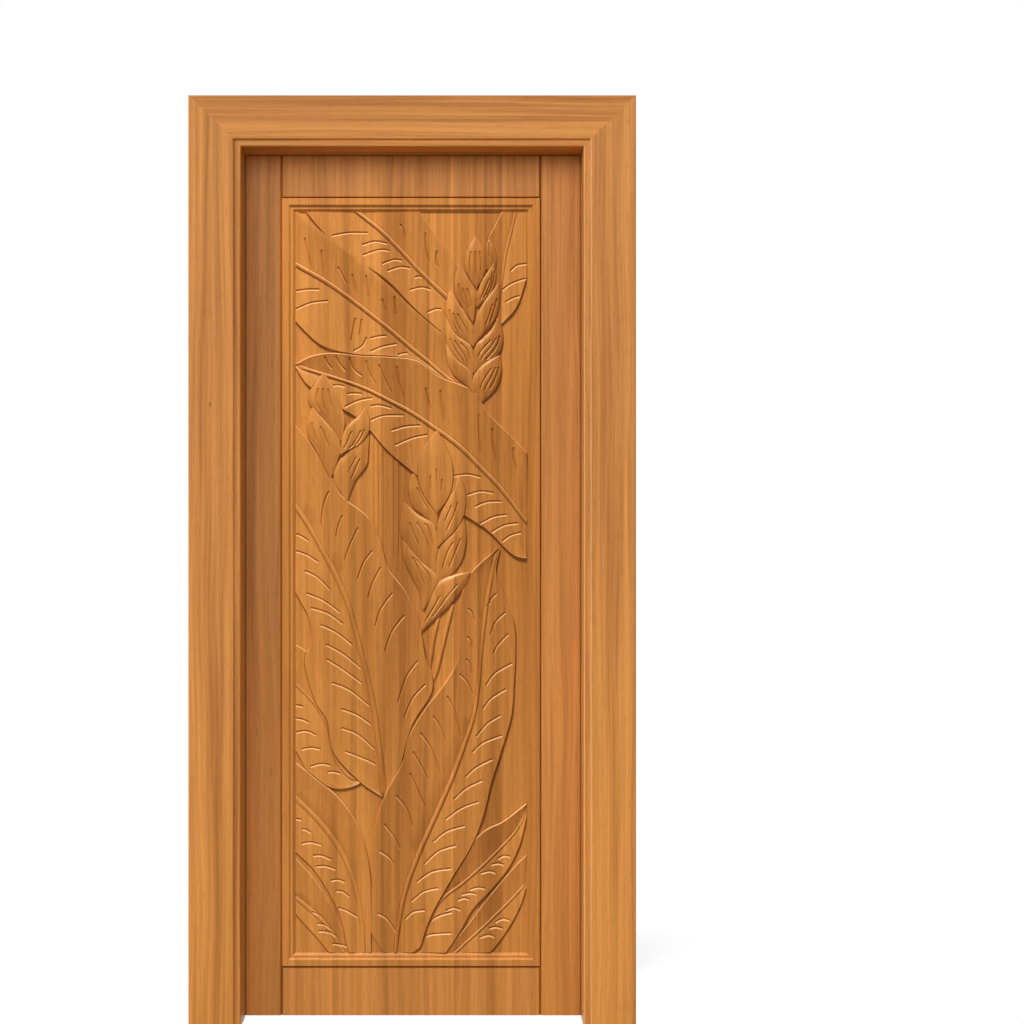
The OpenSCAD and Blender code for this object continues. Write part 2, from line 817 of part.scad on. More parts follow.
module hinge_jamb() {
    color(teak) difference() {
        post();
        for (z = hinge_zs) {
            translate([wall_x - plate_t, back_y - plate_w, z - hinge_len / 2])
                cube([plate_t + 1, plate_w + 1, hinge_len]);
            frame_screw_places(z) hinge_screw(screw_play);
        }
    }
}

module lock_jamb() {
    color(teak) mirror([1, 0, 0]) post();
}

module head_jamb() {
    half = opening_w / 2 + jamb_w;
    color(teak) difference() {
        translate([-half, jamb_front_y, opening_h]) cube([2 * half, jamb_depth, jamb_w]);
        translate([wall_x, stop_y, opening_h - 1])
            cube([-2 * wall_x, leaf_t + stop_gap + 1, rebate_w + 1]);
        for (m = [0, 1]) mirror([m, 0, 0]) translate([0, 0, opening_h - 1])
            linear_extrude(housing_d + 1) polygon(post_outline(housing_play));
        for (side = [-1, 1]) corner_screw_places(side) corner_screw(screw_play);
    }
}

// casing: section from the inner edge outwards, front at zero, back at the thickness

function casing_section(w) = [
    [0, casing_t],
    [0, bead_drop + casing_bevel],
    [casing_bevel, bead_drop],
    [bead_w, bead_drop],
    [bead_w, casing_bevel],
    [bead_w + casing_bevel, 0],
    [w - casing_bevel, 0],
    [w, casing_bevel],
    [w, casing_t]
];

// bar standing on the XY plane with its ends cut along an outline seen from the front
module cut_bar(section, length, thick, outline) {
    intersection() {
        linear_extrude(length) polygon(section);
        translate([0, thick + 1, 0]) rotate([90, 0, 0]) linear_extrude(thick + 2) polygon(outline);
    }
}

module casing_upright() {
    cut_bar(
        casing_section(casing_w), opening_h + casing_head_w, casing_t,
        [[0, 0], [casing_w, 0], [casing_w, opening_h + casing_head_w], [0, opening_h]]
    );
}

module casing_right() {
    color(teak_light) translate([opening_w / 2, front_y, 0]) casing_upright();
}

module casing_left() {
    color(teak_light) translate([-opening_w / 2, front_y, 0]) mirror([1, 0, 0]) casing_upright();
}

module casing_head() {
    length = opening_w + 2 * casing_w;
    color(teak_light) translate([-length / 2, front_y, opening_h]) mirror([0, 0, 1]) rotate([0, 90, 0])
        cut_bar(
            casing_section(casing_head_w), length, casing_t,
            [[0, casing_w], [casing_head_w, 0], [casing_head_w, length], [0, length - casing_w]]
        );
}

// leaf: sections as [across, through]

function stile_section(w) = [
    [0, arris],
    [arris, 0],
    [w - joint_bevel, 0],
    [w, joint_depth],
    [w, leaf_t - back_bevel],
    [w - back_bevel, leaf_t],
    [arris, leaf_t],
    [0, leaf_t - arris]
];

module mortise(z0, z1, w) {
    translate([w - tenon_l - 1, groove_setback, z0 - leaf_bottom - tenon_play])
        cube([tenon_l + 2, groove_w, z1 - z0 + 2 * tenon_play]);
}

function top_tenon() = [field_top + groove_d, leaf_top - tenon_shoulder];

function bottom_tenon() = [leaf_bottom + tenon_shoulder, field_bottom - groove_d];

// stile with its outer edge at x = 0 and its foot at z = 0
module stile(w) {
    difference() {
        linear_extrude(leaf_h) polygon(stile_section(w));
        translate([w - groove_d, groove_setback, field_bottom - leaf_bottom - groove_d])
            cube([groove_d + 1, groove_w, field_h + 2 * groove_d]);
        mortise(top_tenon()[0], top_tenon()[1], w);
        mortise(bottom_tenon()[0], bottom_tenon()[1], w);
    }
}

module hinge_stile() {
    color(teak) difference() {
        translate([leaf_left, leaf_y, leaf_bottom]) stile(hinge_stile_w);
        for (z = hinge_zs) {
            translate([leaf_left - 1, back_y - plate_w, z - hinge_len / 2])
                cube([plate_t + 1, plate_w + 1, hinge_len]);
            door_screw_places(z) hinge_screw(screw_play);
        }
    }
}

module lock_stile() {
    color(teak) translate([leaf_right, leaf_y, leaf_bottom]) mirror([1, 0, 0]) stile(lock_stile_w);
}

// rail lying along X with its outer edge at z = 0 and its inner edge up at z = w
module rail(w, tenon_low, tenon_high) {
    difference() {
        translate([0, 0, w]) rotate([0, 90, 0]) linear_extrude(field_w)
            polygon([for (p = stile_section(w)) [w - p[0], p[1]]]);
        translate([-1, groove_setback, w - groove_d]) cube([field_w + 2, groove_w, groove_d + 1]);
        for (m = [0, 1]) translate([m * field_w, 0, -1]) mirror([m, 0, 0]) {
            linear_extrude(w + 2) polygon([
                [-1, -1], [joint_bevel, -1], [joint_bevel, 0], [0, joint_depth], [-1, joint_depth]
            ]);
            linear_extrude(w + 2) polygon([
                [-1, leaf_t + 1], [back_bevel, leaf_t + 1], [back_bevel, leaf_t],
                [0, leaf_t - back_bevel], [-1, leaf_t - back_bevel]
            ]);
        }
    }
    for (x = [-tenon_l, field_w - 1])
        translate([x, groove_setback + tenon_play, tenon_low])
            cube([tenon_l + 1, groove_w - 2 * tenon_play, tenon_high - tenon_low]);
}

module bottom_rail() {
    color(teak) translate([field_left, leaf_y, leaf_bottom])
        rail(bottom_rail_w, tenon_shoulder, bottom_rail_w - groove_d);
}

module top_rail() {
    color(teak) translate([field_left, leaf_y, leaf_top]) mirror([0, 0, 1])
        rail(top_rail_w, tenon_shoulder, top_rail_w - groove_d);
}

// moulding around the panel: section from the V joint inwards, lying on the ground of the panel

moulding_section = [
    [0, ground_depth],
    [0, joint_depth],
    [moulding_bevel, 0],
    [moulding_flat, 0],
    [moulding_flat + moulding_slope, moulding_step],
    [moulding_second, moulding_step],
    [moulding_w - 1, ground_depth - moulding_lip],
    [moulding_w, ground_depth - moulding_lip],
    [moulding_w, ground_depth]
];

module mitred_moulding(length) {
    cut_bar(
        moulding_section, length, ground_depth,
        [[0, 0], [moulding_w, moulding_w], [moulding_w, length - moulding_w], [0, length]]
    );
}

module moulding_left() {
    color(teak) translate([field_left, leaf_y, field_bottom]) mitred_moulding(field_h);
}

module moulding_right() {
    color(teak) translate([field_right, leaf_y, field_bottom]) mirror([1, 0, 0]) mitred_moulding(field_h);
}

module moulding_top() {
    color(teak) translate([field_left, leaf_y, field_top]) rotate([0, 90, 0]) mitred_moulding(field_w);
}

module moulding_bottom() {
    color(teak) translate([field_left, leaf_y, field_bottom]) mirror([0, 0, 1]) rotate([0, 90, 0])
        mitred_moulding(field_w);
}

// hinges

// knuckles of one side, counted from the bottom of the hinge
module knuckle_row(z, first, plate_x) {
    difference() {
        for (k = [first : 2 : knuckles - 1])
            translate([0, 0, z - hinge_len / 2 + k * knuckle_len + knuckle_gap / 2]) {
                translate([pin_x, pin_y, 0]) cylinder(r = barrel_r, h = knuckle_len - knuckle_gap);
                translate([plate_x, back_y - 1, 0])
                    cube([plate_t, pin_offset + 1, knuckle_len - knuckle_gap]);
            }
        translate([pin_x, pin_y, z - hinge_len]) cylinder(r = pin_r + pin_play, h = 2 * hinge_len);
    }
}

module frame_plate(z) {
    color(metal) {
        difference() {
            translate([wall_x - plate_t, back_y - plate_w, z - hinge_len / 2])
                cube([plate_t, plate_w, hinge_len]);
            frame_screw_places(z) hinge_screw(screw_play);
        }
        knuckle_row(z, 0, wall_x - plate_t);
    }
}

module door_plate(z) {
    color(metal) {
        difference() {
            translate([leaf_left, back_y - plate_w, z - hinge_len / 2])
                cube([plate_t, plate_w, hinge_len]);
            door_screw_places(z) hinge_screw(screw_play);
        }
        knuckle_row(z, 1, leaf_left);
    }
}

// pin with a round cap that rests on the top knuckle
module hinge_pin(z) {
    top = hinge_len / 2 - knuckle_gap / 2;
    color(metal) translate([pin_x, pin_y, z]) rotate_extrude()
        polygon([
            [0, -hinge_len / 2 - 1],
            [pin_r * pin_point, -hinge_len / 2 - 1],
            [pin_r, -hinge_len / 2],
            [pin_r, top],
            [barrel_r * cap_rim, top],
            [barrel_r * cap_rim, top + pin_cap_h * cap_shoulder],
            [barrel_r * cap_top, top + pin_cap_h],
            [0, top + pin_cap_h]
        ]);
}

module frame_plate_top() {
    frame_plate(hinge_z_top);
}

module frame_plate_middle() {
    frame_plate(hinge_z_middle);
}

module frame_plate_bottom() {
    frame_plate(hinge_z_bottom);
}

module door_plate_top() {
    door_plate(hinge_z_top);
}

module door_plate_middle() {
    door_plate(hinge_z_middle);
}

module door_plate_bottom() {
    door_plate(hinge_z_bottom);
}

module hinge_pin_top() {
    hinge_pin(hinge_z_top);
}

module hinge_pin_middle() {
    hinge_pin(hinge_z_middle);
}

module hinge_pin_bottom() {
    hinge_pin(hinge_z_bottom);
}

module frame_hinge_screws() {
    color(metal) for (z = hinge_zs) frame_screw_places(z) hinge_screw(0);
}

module door_hinge_screws() {
    color(metal) for (z = hinge_zs) door_screw_places(z) hinge_screw(0);
}

module corner_screws() {
    color(metal) for (side = [-1, 1]) corner_screw_places(side) corner_screw(0);
}

hinge_jamb();
lock_jamb();
head_jamb();
casing_left();
casing_right();
casing_head();
hinge_stile();
lock_stile();
top_rail();
bottom_rail();
carved_panel();
moulding_left();
moulding_right();
moulding_top();
moulding_bottom();
frame_plate_top();
frame_plate_middle();
frame_plate_bottom();
door_plate_top();
door_plate_middle();
door_plate_bottom();
hinge_pin_top();
hinge_pin_middle();
hinge_pin_bottom();
frame_hinge_screws();
door_hinge_screws();
corner_screws();
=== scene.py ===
"""Looks of a teak door with a carved panel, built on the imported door, with a plain studio around it."""

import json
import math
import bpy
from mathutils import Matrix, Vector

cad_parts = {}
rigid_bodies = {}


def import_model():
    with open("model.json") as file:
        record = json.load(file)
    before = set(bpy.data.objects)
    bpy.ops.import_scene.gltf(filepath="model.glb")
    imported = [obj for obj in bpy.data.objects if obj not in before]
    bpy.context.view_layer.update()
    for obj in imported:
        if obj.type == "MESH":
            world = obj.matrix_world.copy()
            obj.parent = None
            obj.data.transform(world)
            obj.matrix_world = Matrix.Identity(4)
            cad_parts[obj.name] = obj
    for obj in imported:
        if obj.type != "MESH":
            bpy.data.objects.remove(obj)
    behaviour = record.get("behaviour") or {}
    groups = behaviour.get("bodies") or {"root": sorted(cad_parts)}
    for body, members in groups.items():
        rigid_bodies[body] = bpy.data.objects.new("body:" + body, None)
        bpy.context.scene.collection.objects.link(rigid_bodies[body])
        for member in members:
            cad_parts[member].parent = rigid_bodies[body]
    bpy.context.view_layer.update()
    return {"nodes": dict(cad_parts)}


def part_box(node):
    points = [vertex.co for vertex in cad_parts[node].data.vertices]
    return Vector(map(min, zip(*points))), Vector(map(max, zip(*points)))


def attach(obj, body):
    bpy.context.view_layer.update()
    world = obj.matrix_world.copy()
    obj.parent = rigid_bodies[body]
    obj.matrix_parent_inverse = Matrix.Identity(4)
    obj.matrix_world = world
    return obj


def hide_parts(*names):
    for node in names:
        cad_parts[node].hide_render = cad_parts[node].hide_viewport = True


bl_info = {
    "name": "Carved Teak Door",
    "version": (1, 0, 0),
    "blender": (4, 5, 0),
    "location": "View3D > Sidebar > Teak Door",
    "description": "Carves the panel, eases the timbers, finishes teak and brass, and sets the studio",
    "category": "Object",
}

from collections import namedtuple

import bmesh
import bpy
from bpy.props import FloatProperty, FloatVectorProperty, PointerProperty
from mathutils import Vector
from mathutils.bvhtree import BVHTree

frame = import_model()

MM = 0.001
LEAF_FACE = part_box("moulding_left")[0].y
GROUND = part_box("moulding_left")[1].y
ART_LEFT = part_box("moulding_left")[1].x
ART_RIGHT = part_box("moulding_right")[0].x
ART_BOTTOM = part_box("moulding_bottom")[1].z
ART_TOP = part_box("moulding_top")[0].z

# The carving is drawn in millimetres on a board of this size, from its lower left corner.
DRAWING_W = 544
DRAWING_H = 1742
ACROSS = (ART_RIGHT - ART_LEFT) / DRAWING_W
UPWARD = (ART_TOP - ART_BOTTOM) / DRAWING_H

# A frond's rows run from stalk to tip: first edge, rib, second edge. Veins are strokes across it.
# The foot of an edge is the part of its height that is left at the outline, its cut a share of the stop cut.
Frond = namedtuple(
    "Frond", "name rib rise low first second rows veins foot_first foot_second cut_first cut_second",
    defaults=(0.4, 0.4, 1.0, 1.0),
)
# A bract's rows run from its tip down. Gouges are side from -1 to 1, start and end along it.
# Its edge and crown are heights, its sink is the part of them that it loses towards the lower end.
Bract = namedtuple("Bract", "name rows gouges edge crown sink", defaults=(6.0, 9.5, 0.5))

FRONDS = (
    Frond(
        "bottom_left", rib=5, rise=2.0, low=0.6, first=3.2, second=4.2,
        rows=(
            (136, -2, 116, -12, 86, -12), (111, 53, 86, 43, 54, 28), (81, 118, 51, 85, 24, 61),
            (41, 178, 6, 123, -9, 98), (-14, 238, -44, 163, -54, 143),
        ),
        veins=(
            (38, 95, 56, 88, 66, 78), (51, 68, 71, 63, 86, 53), (54, 50, 76, 48, 96, 38),
            (86, 20, 106, 18, 121, 13),
        ),
    ),
    Frond(
        "left_small", rib=4, rise=1.8, low=1.0, first=4.0, second=5.6,
        rows=(
            (181, 438, 171, 423, 158, 400), (156, 423, 136, 408, 126, 386), (136, 470, 104, 438, 86, 385),
            (112, 540, 86, 478, 36, 413), (80, 620, 76, 528, 1, 470), (36, 700, 46, 583, -44, 538),
            (-30, 740, -9, 641, -94, 608),
        ),
        veins=(
            (-2, 581, 8, 581, 18, 578), (-2, 551, 16, 548, 31, 541), (1, 518, 26, 521, 48, 511),
            (14, 478, 36, 482, 58, 478), (36, 438, 61, 444, 81, 440), (76, 425, 91, 425, 106, 421),
        ),
    ),
    Frond(
        "lower_left", rib=6, rise=2.2, low=0.6, first=5.2, second=5.2,
        rows=(
            (179, 8, 164, -32, 126, -12), (179, 88, 158, 53, 104, 83), (178, 168, 146, 133, 78, 138),
            (168, 238, 124, 200, 38, 198), (146, 303, 94, 256, -14, 248), (104, 363, 54, 308, -44, 288),
            (51, 408, 6, 356, -74, 328), (-14, 460, -44, 400, -104, 368),
        ),
        veins=(
            (-6, 313, 4, 314, 14, 311), (14, 290, 26, 288, 36, 281), (14, 256, 36, 259, 61, 253),
            (41, 228, 61, 228, 84, 218), (48, 203, 71, 203, 94, 195), (83, 169, 101, 171, 116, 165),
            (94, 145, 111, 143, 126, 131), (101, 106, 121, 98, 146, 83),
        ),
    ),
    Frond(
        "bottom_right", rib=4.5, rise=2.0, low=0.8, first=3.6, second=4.6,
        rows=(
            (356, 8, 366, -12, 441, -22), (401, 60, 396, 18, 471, 13), (441, 113, 431, 50, 494, 43),
            (481, 163, 471, 88, 516, 78), (521, 208, 508, 125, 534, 116), (546, 233, 538, 158, 544, 151),
        ),
        veins=(
            (471, 71, 488, 79, 504, 75), (456, 56, 471, 60, 488, 56), (434, 35, 454, 41, 468, 36),
        ),
    ),
    Frond(
        "top_right", rib=3.5, rise=1.6, low=1.5, first=4.5, second=6.0,
        rows=(
            (471, 1488, 479, 1476, 484, 1476), (469, 1538, 479, 1516, 521, 1516),
            (466, 1598, 483, 1563, 544, 1580), (451, 1668, 494, 1638, 566, 1658),
            (466, 1706, 506, 1688, 576, 1708), (491, 1753, 521, 1753, 586, 1768),
        ),
        veins=(
            (506, 1603, 521, 1616, 544, 1620), (486, 1558, 511, 1575, 546, 1586),
            (494, 1530, 516, 1541, 538, 1545),
        ),
    ),
    Frond(
        "upper_left", rib=6.5, rise=4.2, low=0.8, first=6.6, second=6.4, foot_first=0.94,
        rows=(
            (404, 1408, 396, 1323, 386, 1318), (361, 1446, 356, 1352, 346, 1348),
            (321, 1476, 321, 1383, 291, 1383), (266, 1524, 276, 1420, 216, 1400),
            (201, 1586, 226, 1463, 126, 1408), (146, 1630, 176, 1503, 61, 1426),
            (91, 1672, 126, 1541, 14, 1466), (48, 1706, 76, 1576, -24, 1508),
            (-14, 1758, -1, 1620, -94, 1563), (-74, 1808, -64, 1658, -154, 1618),
        ),
        veins=(
            (36, 1613, 21, 1681), (66, 1588, 61, 1653), (119, 1575, 99, 1613), (141, 1558, 133, 1596),
            (172, 1543, 166, 1593), (211, 1513, 203, 1538), (236, 1503, 233, 1543),
            (1, 1556, 28, 1560, 56, 1560), (1, 1513, 36, 1528, 76, 1533), (176, 1445, 196, 1450, 214, 1451),
            (176, 1414, 206, 1426, 238, 1432), (241, 1406, 254, 1410, 264, 1411),
            (141, 1493, 136, 1466, 131, 1440), (156, 1490, 151, 1453), (136, 1414, 158, 1428, 168, 1448),
        ),
    ),
    Frond(
        "top_left", rib=6.5, rise=4.2, low=0.8, first=5.6, second=6.8, foot_second=0.96, cut_second=0.0,
        rows=(
            (411, 1568, 406, 1496, 371, 1438), (356, 1653, 354, 1545, 291, 1505),
            (308, 1720, 298, 1598, 216, 1581), (266, 1778, 251, 1648, 146, 1628),
            (216, 1828, 201, 1698, 81, 1678), (166, 1878, 146, 1741, 26, 1741),
            (116, 1928, 96, 1788, -24, 1808),
        ),
        veins=(
            (258, 1683, 254, 1700, 246, 1713), (314, 1628, 308, 1648, 306, 1693),
            (336, 1613, 331, 1623, 333, 1651), (86, 1686, 126, 1693, 171, 1693),
            (156, 1664, 186, 1673, 216, 1668), (158, 1640, 196, 1653, 221, 1651),
            (204, 1620, 231, 1630, 251, 1628), (216, 1603, 246, 1613, 271, 1610),
            (281, 1588, 291, 1591, 301, 1588), (268, 1558, 296, 1565, 318, 1560),
            (311, 1506, 331, 1514, 344, 1513),
        ),
    ),
    Frond(
        "great_arch", rib=6.5, rise=4.0, low=1.0, first=7.0, second=7.2,
        rows=(
            (640, 1090, 622, 915, 566, 929), (596, 1128, 586, 962, 512, 933),
            (544, 1178, 546, 1011, 448, 994), (501, 1223, 491, 1083, 371, 1044),
            (456, 1266, 441, 1136, 306, 1103), (416, 1323, 386, 1190, 251, 1148),
            (338, 1356, 336, 1228, 211, 1183), (286, 1393, 276, 1268, 154, 1248),
            (221, 1402, 226, 1295, 106, 1280), (151, 1405, 171, 1323, 61, 1310),
            (86, 1411, 116, 1344, 28, 1333), (36, 1404, 51, 1364, 10, 1356), (0, 1385, 1, 1380, 0, 1376),
        ),
        veins=(
            (68, 1403, 75, 1386, 86, 1373), (94, 1403, 104, 1384, 118, 1368),
            (126, 1400, 136, 1373, 156, 1356), (166, 1393, 174, 1363, 188, 1338),
            (196, 1383, 210, 1348, 224, 1320), (238, 1380, 242, 1348, 254, 1308),
            (306, 1328, 311, 1303, 318, 1278), (341, 1323, 344, 1288, 351, 1253),
            (431, 1266, 432, 1218, 436, 1178), (463, 1233, 466, 1193, 471, 1158),
            (513, 1188, 514, 1163, 519, 1138), (88, 1334, 101, 1335, 116, 1332),
            (121, 1314, 138, 1316, 156, 1314), (116, 1283, 146, 1298, 181, 1305),
            (176, 1285, 196, 1288, 226, 1281), (176, 1251, 206, 1263, 254, 1264),
            (226, 1228, 261, 1238, 294, 1240), (234, 1193, 276, 1211, 311, 1218),
            (371, 1121, 406, 1125, 436, 1118), (404, 1076, 436, 1085, 466, 1081),
            (421, 1048, 451, 1060, 484, 1061), (433, 1008, 466, 1025, 498, 1030),
            (461, 988, 491, 1005, 524, 1010), (486, 966, 506, 981, 531, 988),
        ),
    ),
    Frond(
        "left_middle", rib=7.5, rise=3.6, low=0.8, first=6.4, second=6.8,
        rows=(
            (210, 370, 206, 365, 201, 368), (246, 436, 206, 398, 151, 401), (276, 538, 202, 448, 88, 470),
            (324, 623, 194, 503, 73, 545), (306, 698, 186, 563, 44, 593), (292, 778, 173, 628, 21, 678),
            (261, 848, 159, 688, 33, 728), (218, 906, 143, 753, 31, 783), (201, 968, 124, 818, 6, 833),
            (168, 1028, 96, 883, -34, 908), (111, 1073, 64, 943, -54, 968), (81, 1123, 33, 998, -74, 1018),
            (31, 1203, -9, 1063, -94, 1078), (-24, 1273, -54, 1123, -124, 1138),
        ),
        veins=(
            (1, 985, 16, 978, 31, 968), (-2, 945, 26, 936, 54, 918), (21, 898, 51, 883, 81, 853),
            (26, 845, 66, 828, 104, 800), (36, 811, 76, 798, 111, 773), (58, 771, 96, 753, 134, 723),
            (71, 725, 111, 703, 154, 668), (73, 690, 111, 666, 156, 633), (84, 635, 126, 618, 174, 580),
            (108, 573, 146, 558, 178, 536), (108, 528, 146, 513, 186, 478), (116, 473, 156, 458, 188, 443),
            (79, 1085, 66, 1053, 61, 1008), (111, 1028, 101, 1005, 96, 978), (148, 1000, 126, 953, 116, 923),
            (181, 945, 161, 918, 146, 878), (201, 906, 181, 868, 171, 833), (228, 845, 201, 808, 188, 768),
            (256, 793, 226, 753, 211, 708), (288, 686, 261, 648, 241, 588), (306, 631, 276, 598, 256, 553),
        ),
    ),
    Frond(
        "lower_right", rib=5, rise=2.2, low=1.0, first=6.8, second=6.0,
        rows=(
            (251, 13, 256, -27, 354, -2), (276, 63, 284, 33, 388, 48), (311, 123, 311, 83, 418, 101),
            (356, 183, 348, 128, 448, 133), (406, 248, 391, 161, 471, 158), (446, 288, 436, 200, 504, 200),
            (486, 308, 481, 244, 528, 248), (516, 330, 519, 286, 540, 293), (546, 354, 548, 343, 549, 333),
        ),
        veins=(
            (476, 220, 491, 228, 506, 225), (461, 206, 476, 210, 491, 206), (436, 186, 456, 191, 471, 187),
            (411, 148, 431, 153, 446, 150), (391, 136, 411, 140, 426, 137), (381, 123, 396, 128, 408, 125),
            (354, 98, 371, 105, 389, 100), (301, 58, 331, 83, 368, 95), (286, 18, 311, 40, 366, 46),
        ),
    ),
    Frond(
        "right_middle", rib=6.5, rise=3.4, low=0.8, first=7.4, second=7.4, foot_first=0.72, cut_first=0.0,
        rows=(
            (178, 48, 231, -42, 296, 18), (179, 148, 239, 43, 321, 88), (180, 238, 254, 128, 364, 166),
            (191, 318, 276, 196, 414, 248), (216, 383, 306, 268, 444, 323), (251, 448, 338, 338, 462, 398),
            (268, 513, 371, 415, 484, 468), (306, 576, 398, 488, 510, 560), (348, 630, 418, 548, 516, 638),
            (381, 690, 429, 613, 519, 708), (386, 768, 436, 698, 516, 773), (389, 838, 446, 788, 494, 833),
            (414, 896, 461, 878, 473, 893), (476, 951, 479, 954, 482, 950),
        ),
        veins=(
            (451, 813, 461, 833, 473, 844), (459, 748, 471, 778, 494, 800), (466, 703, 476, 723, 501, 750),
            (448, 628, 471, 658, 509, 680), (441, 573, 461, 598, 496, 620), (426, 508, 451, 538, 483, 558),
            (416, 470, 441, 493, 486, 511), (401, 413, 426, 436, 463, 455), (373, 360, 401, 386, 439, 405),
            (353, 313, 391, 340, 431, 355), (324, 260, 356, 285, 398, 298), (303, 208, 336, 238, 378, 252),
            (286, 166, 321, 190, 366, 198), (273, 120, 301, 143, 336, 152), (258, 78, 276, 95, 304, 100),
            (406, 810, 416, 798, 421, 783), (404, 743, 413, 733, 416, 718), (401, 691, 411, 678, 416, 658),
            (385, 655, 404, 636, 417, 608), (356, 604, 376, 564, 388, 506), (323, 556, 339, 533, 351, 503),
            (294, 516, 320, 478, 341, 418), (276, 473, 296, 438, 311, 408), (269, 423, 288, 380, 304, 344),
            (236, 370, 261, 338, 276, 298), (208, 303, 231, 273, 246, 243), (196, 240, 221, 223, 231, 208),
            (193, 93, 216, 78, 236, 48),
        ),
    ),
)
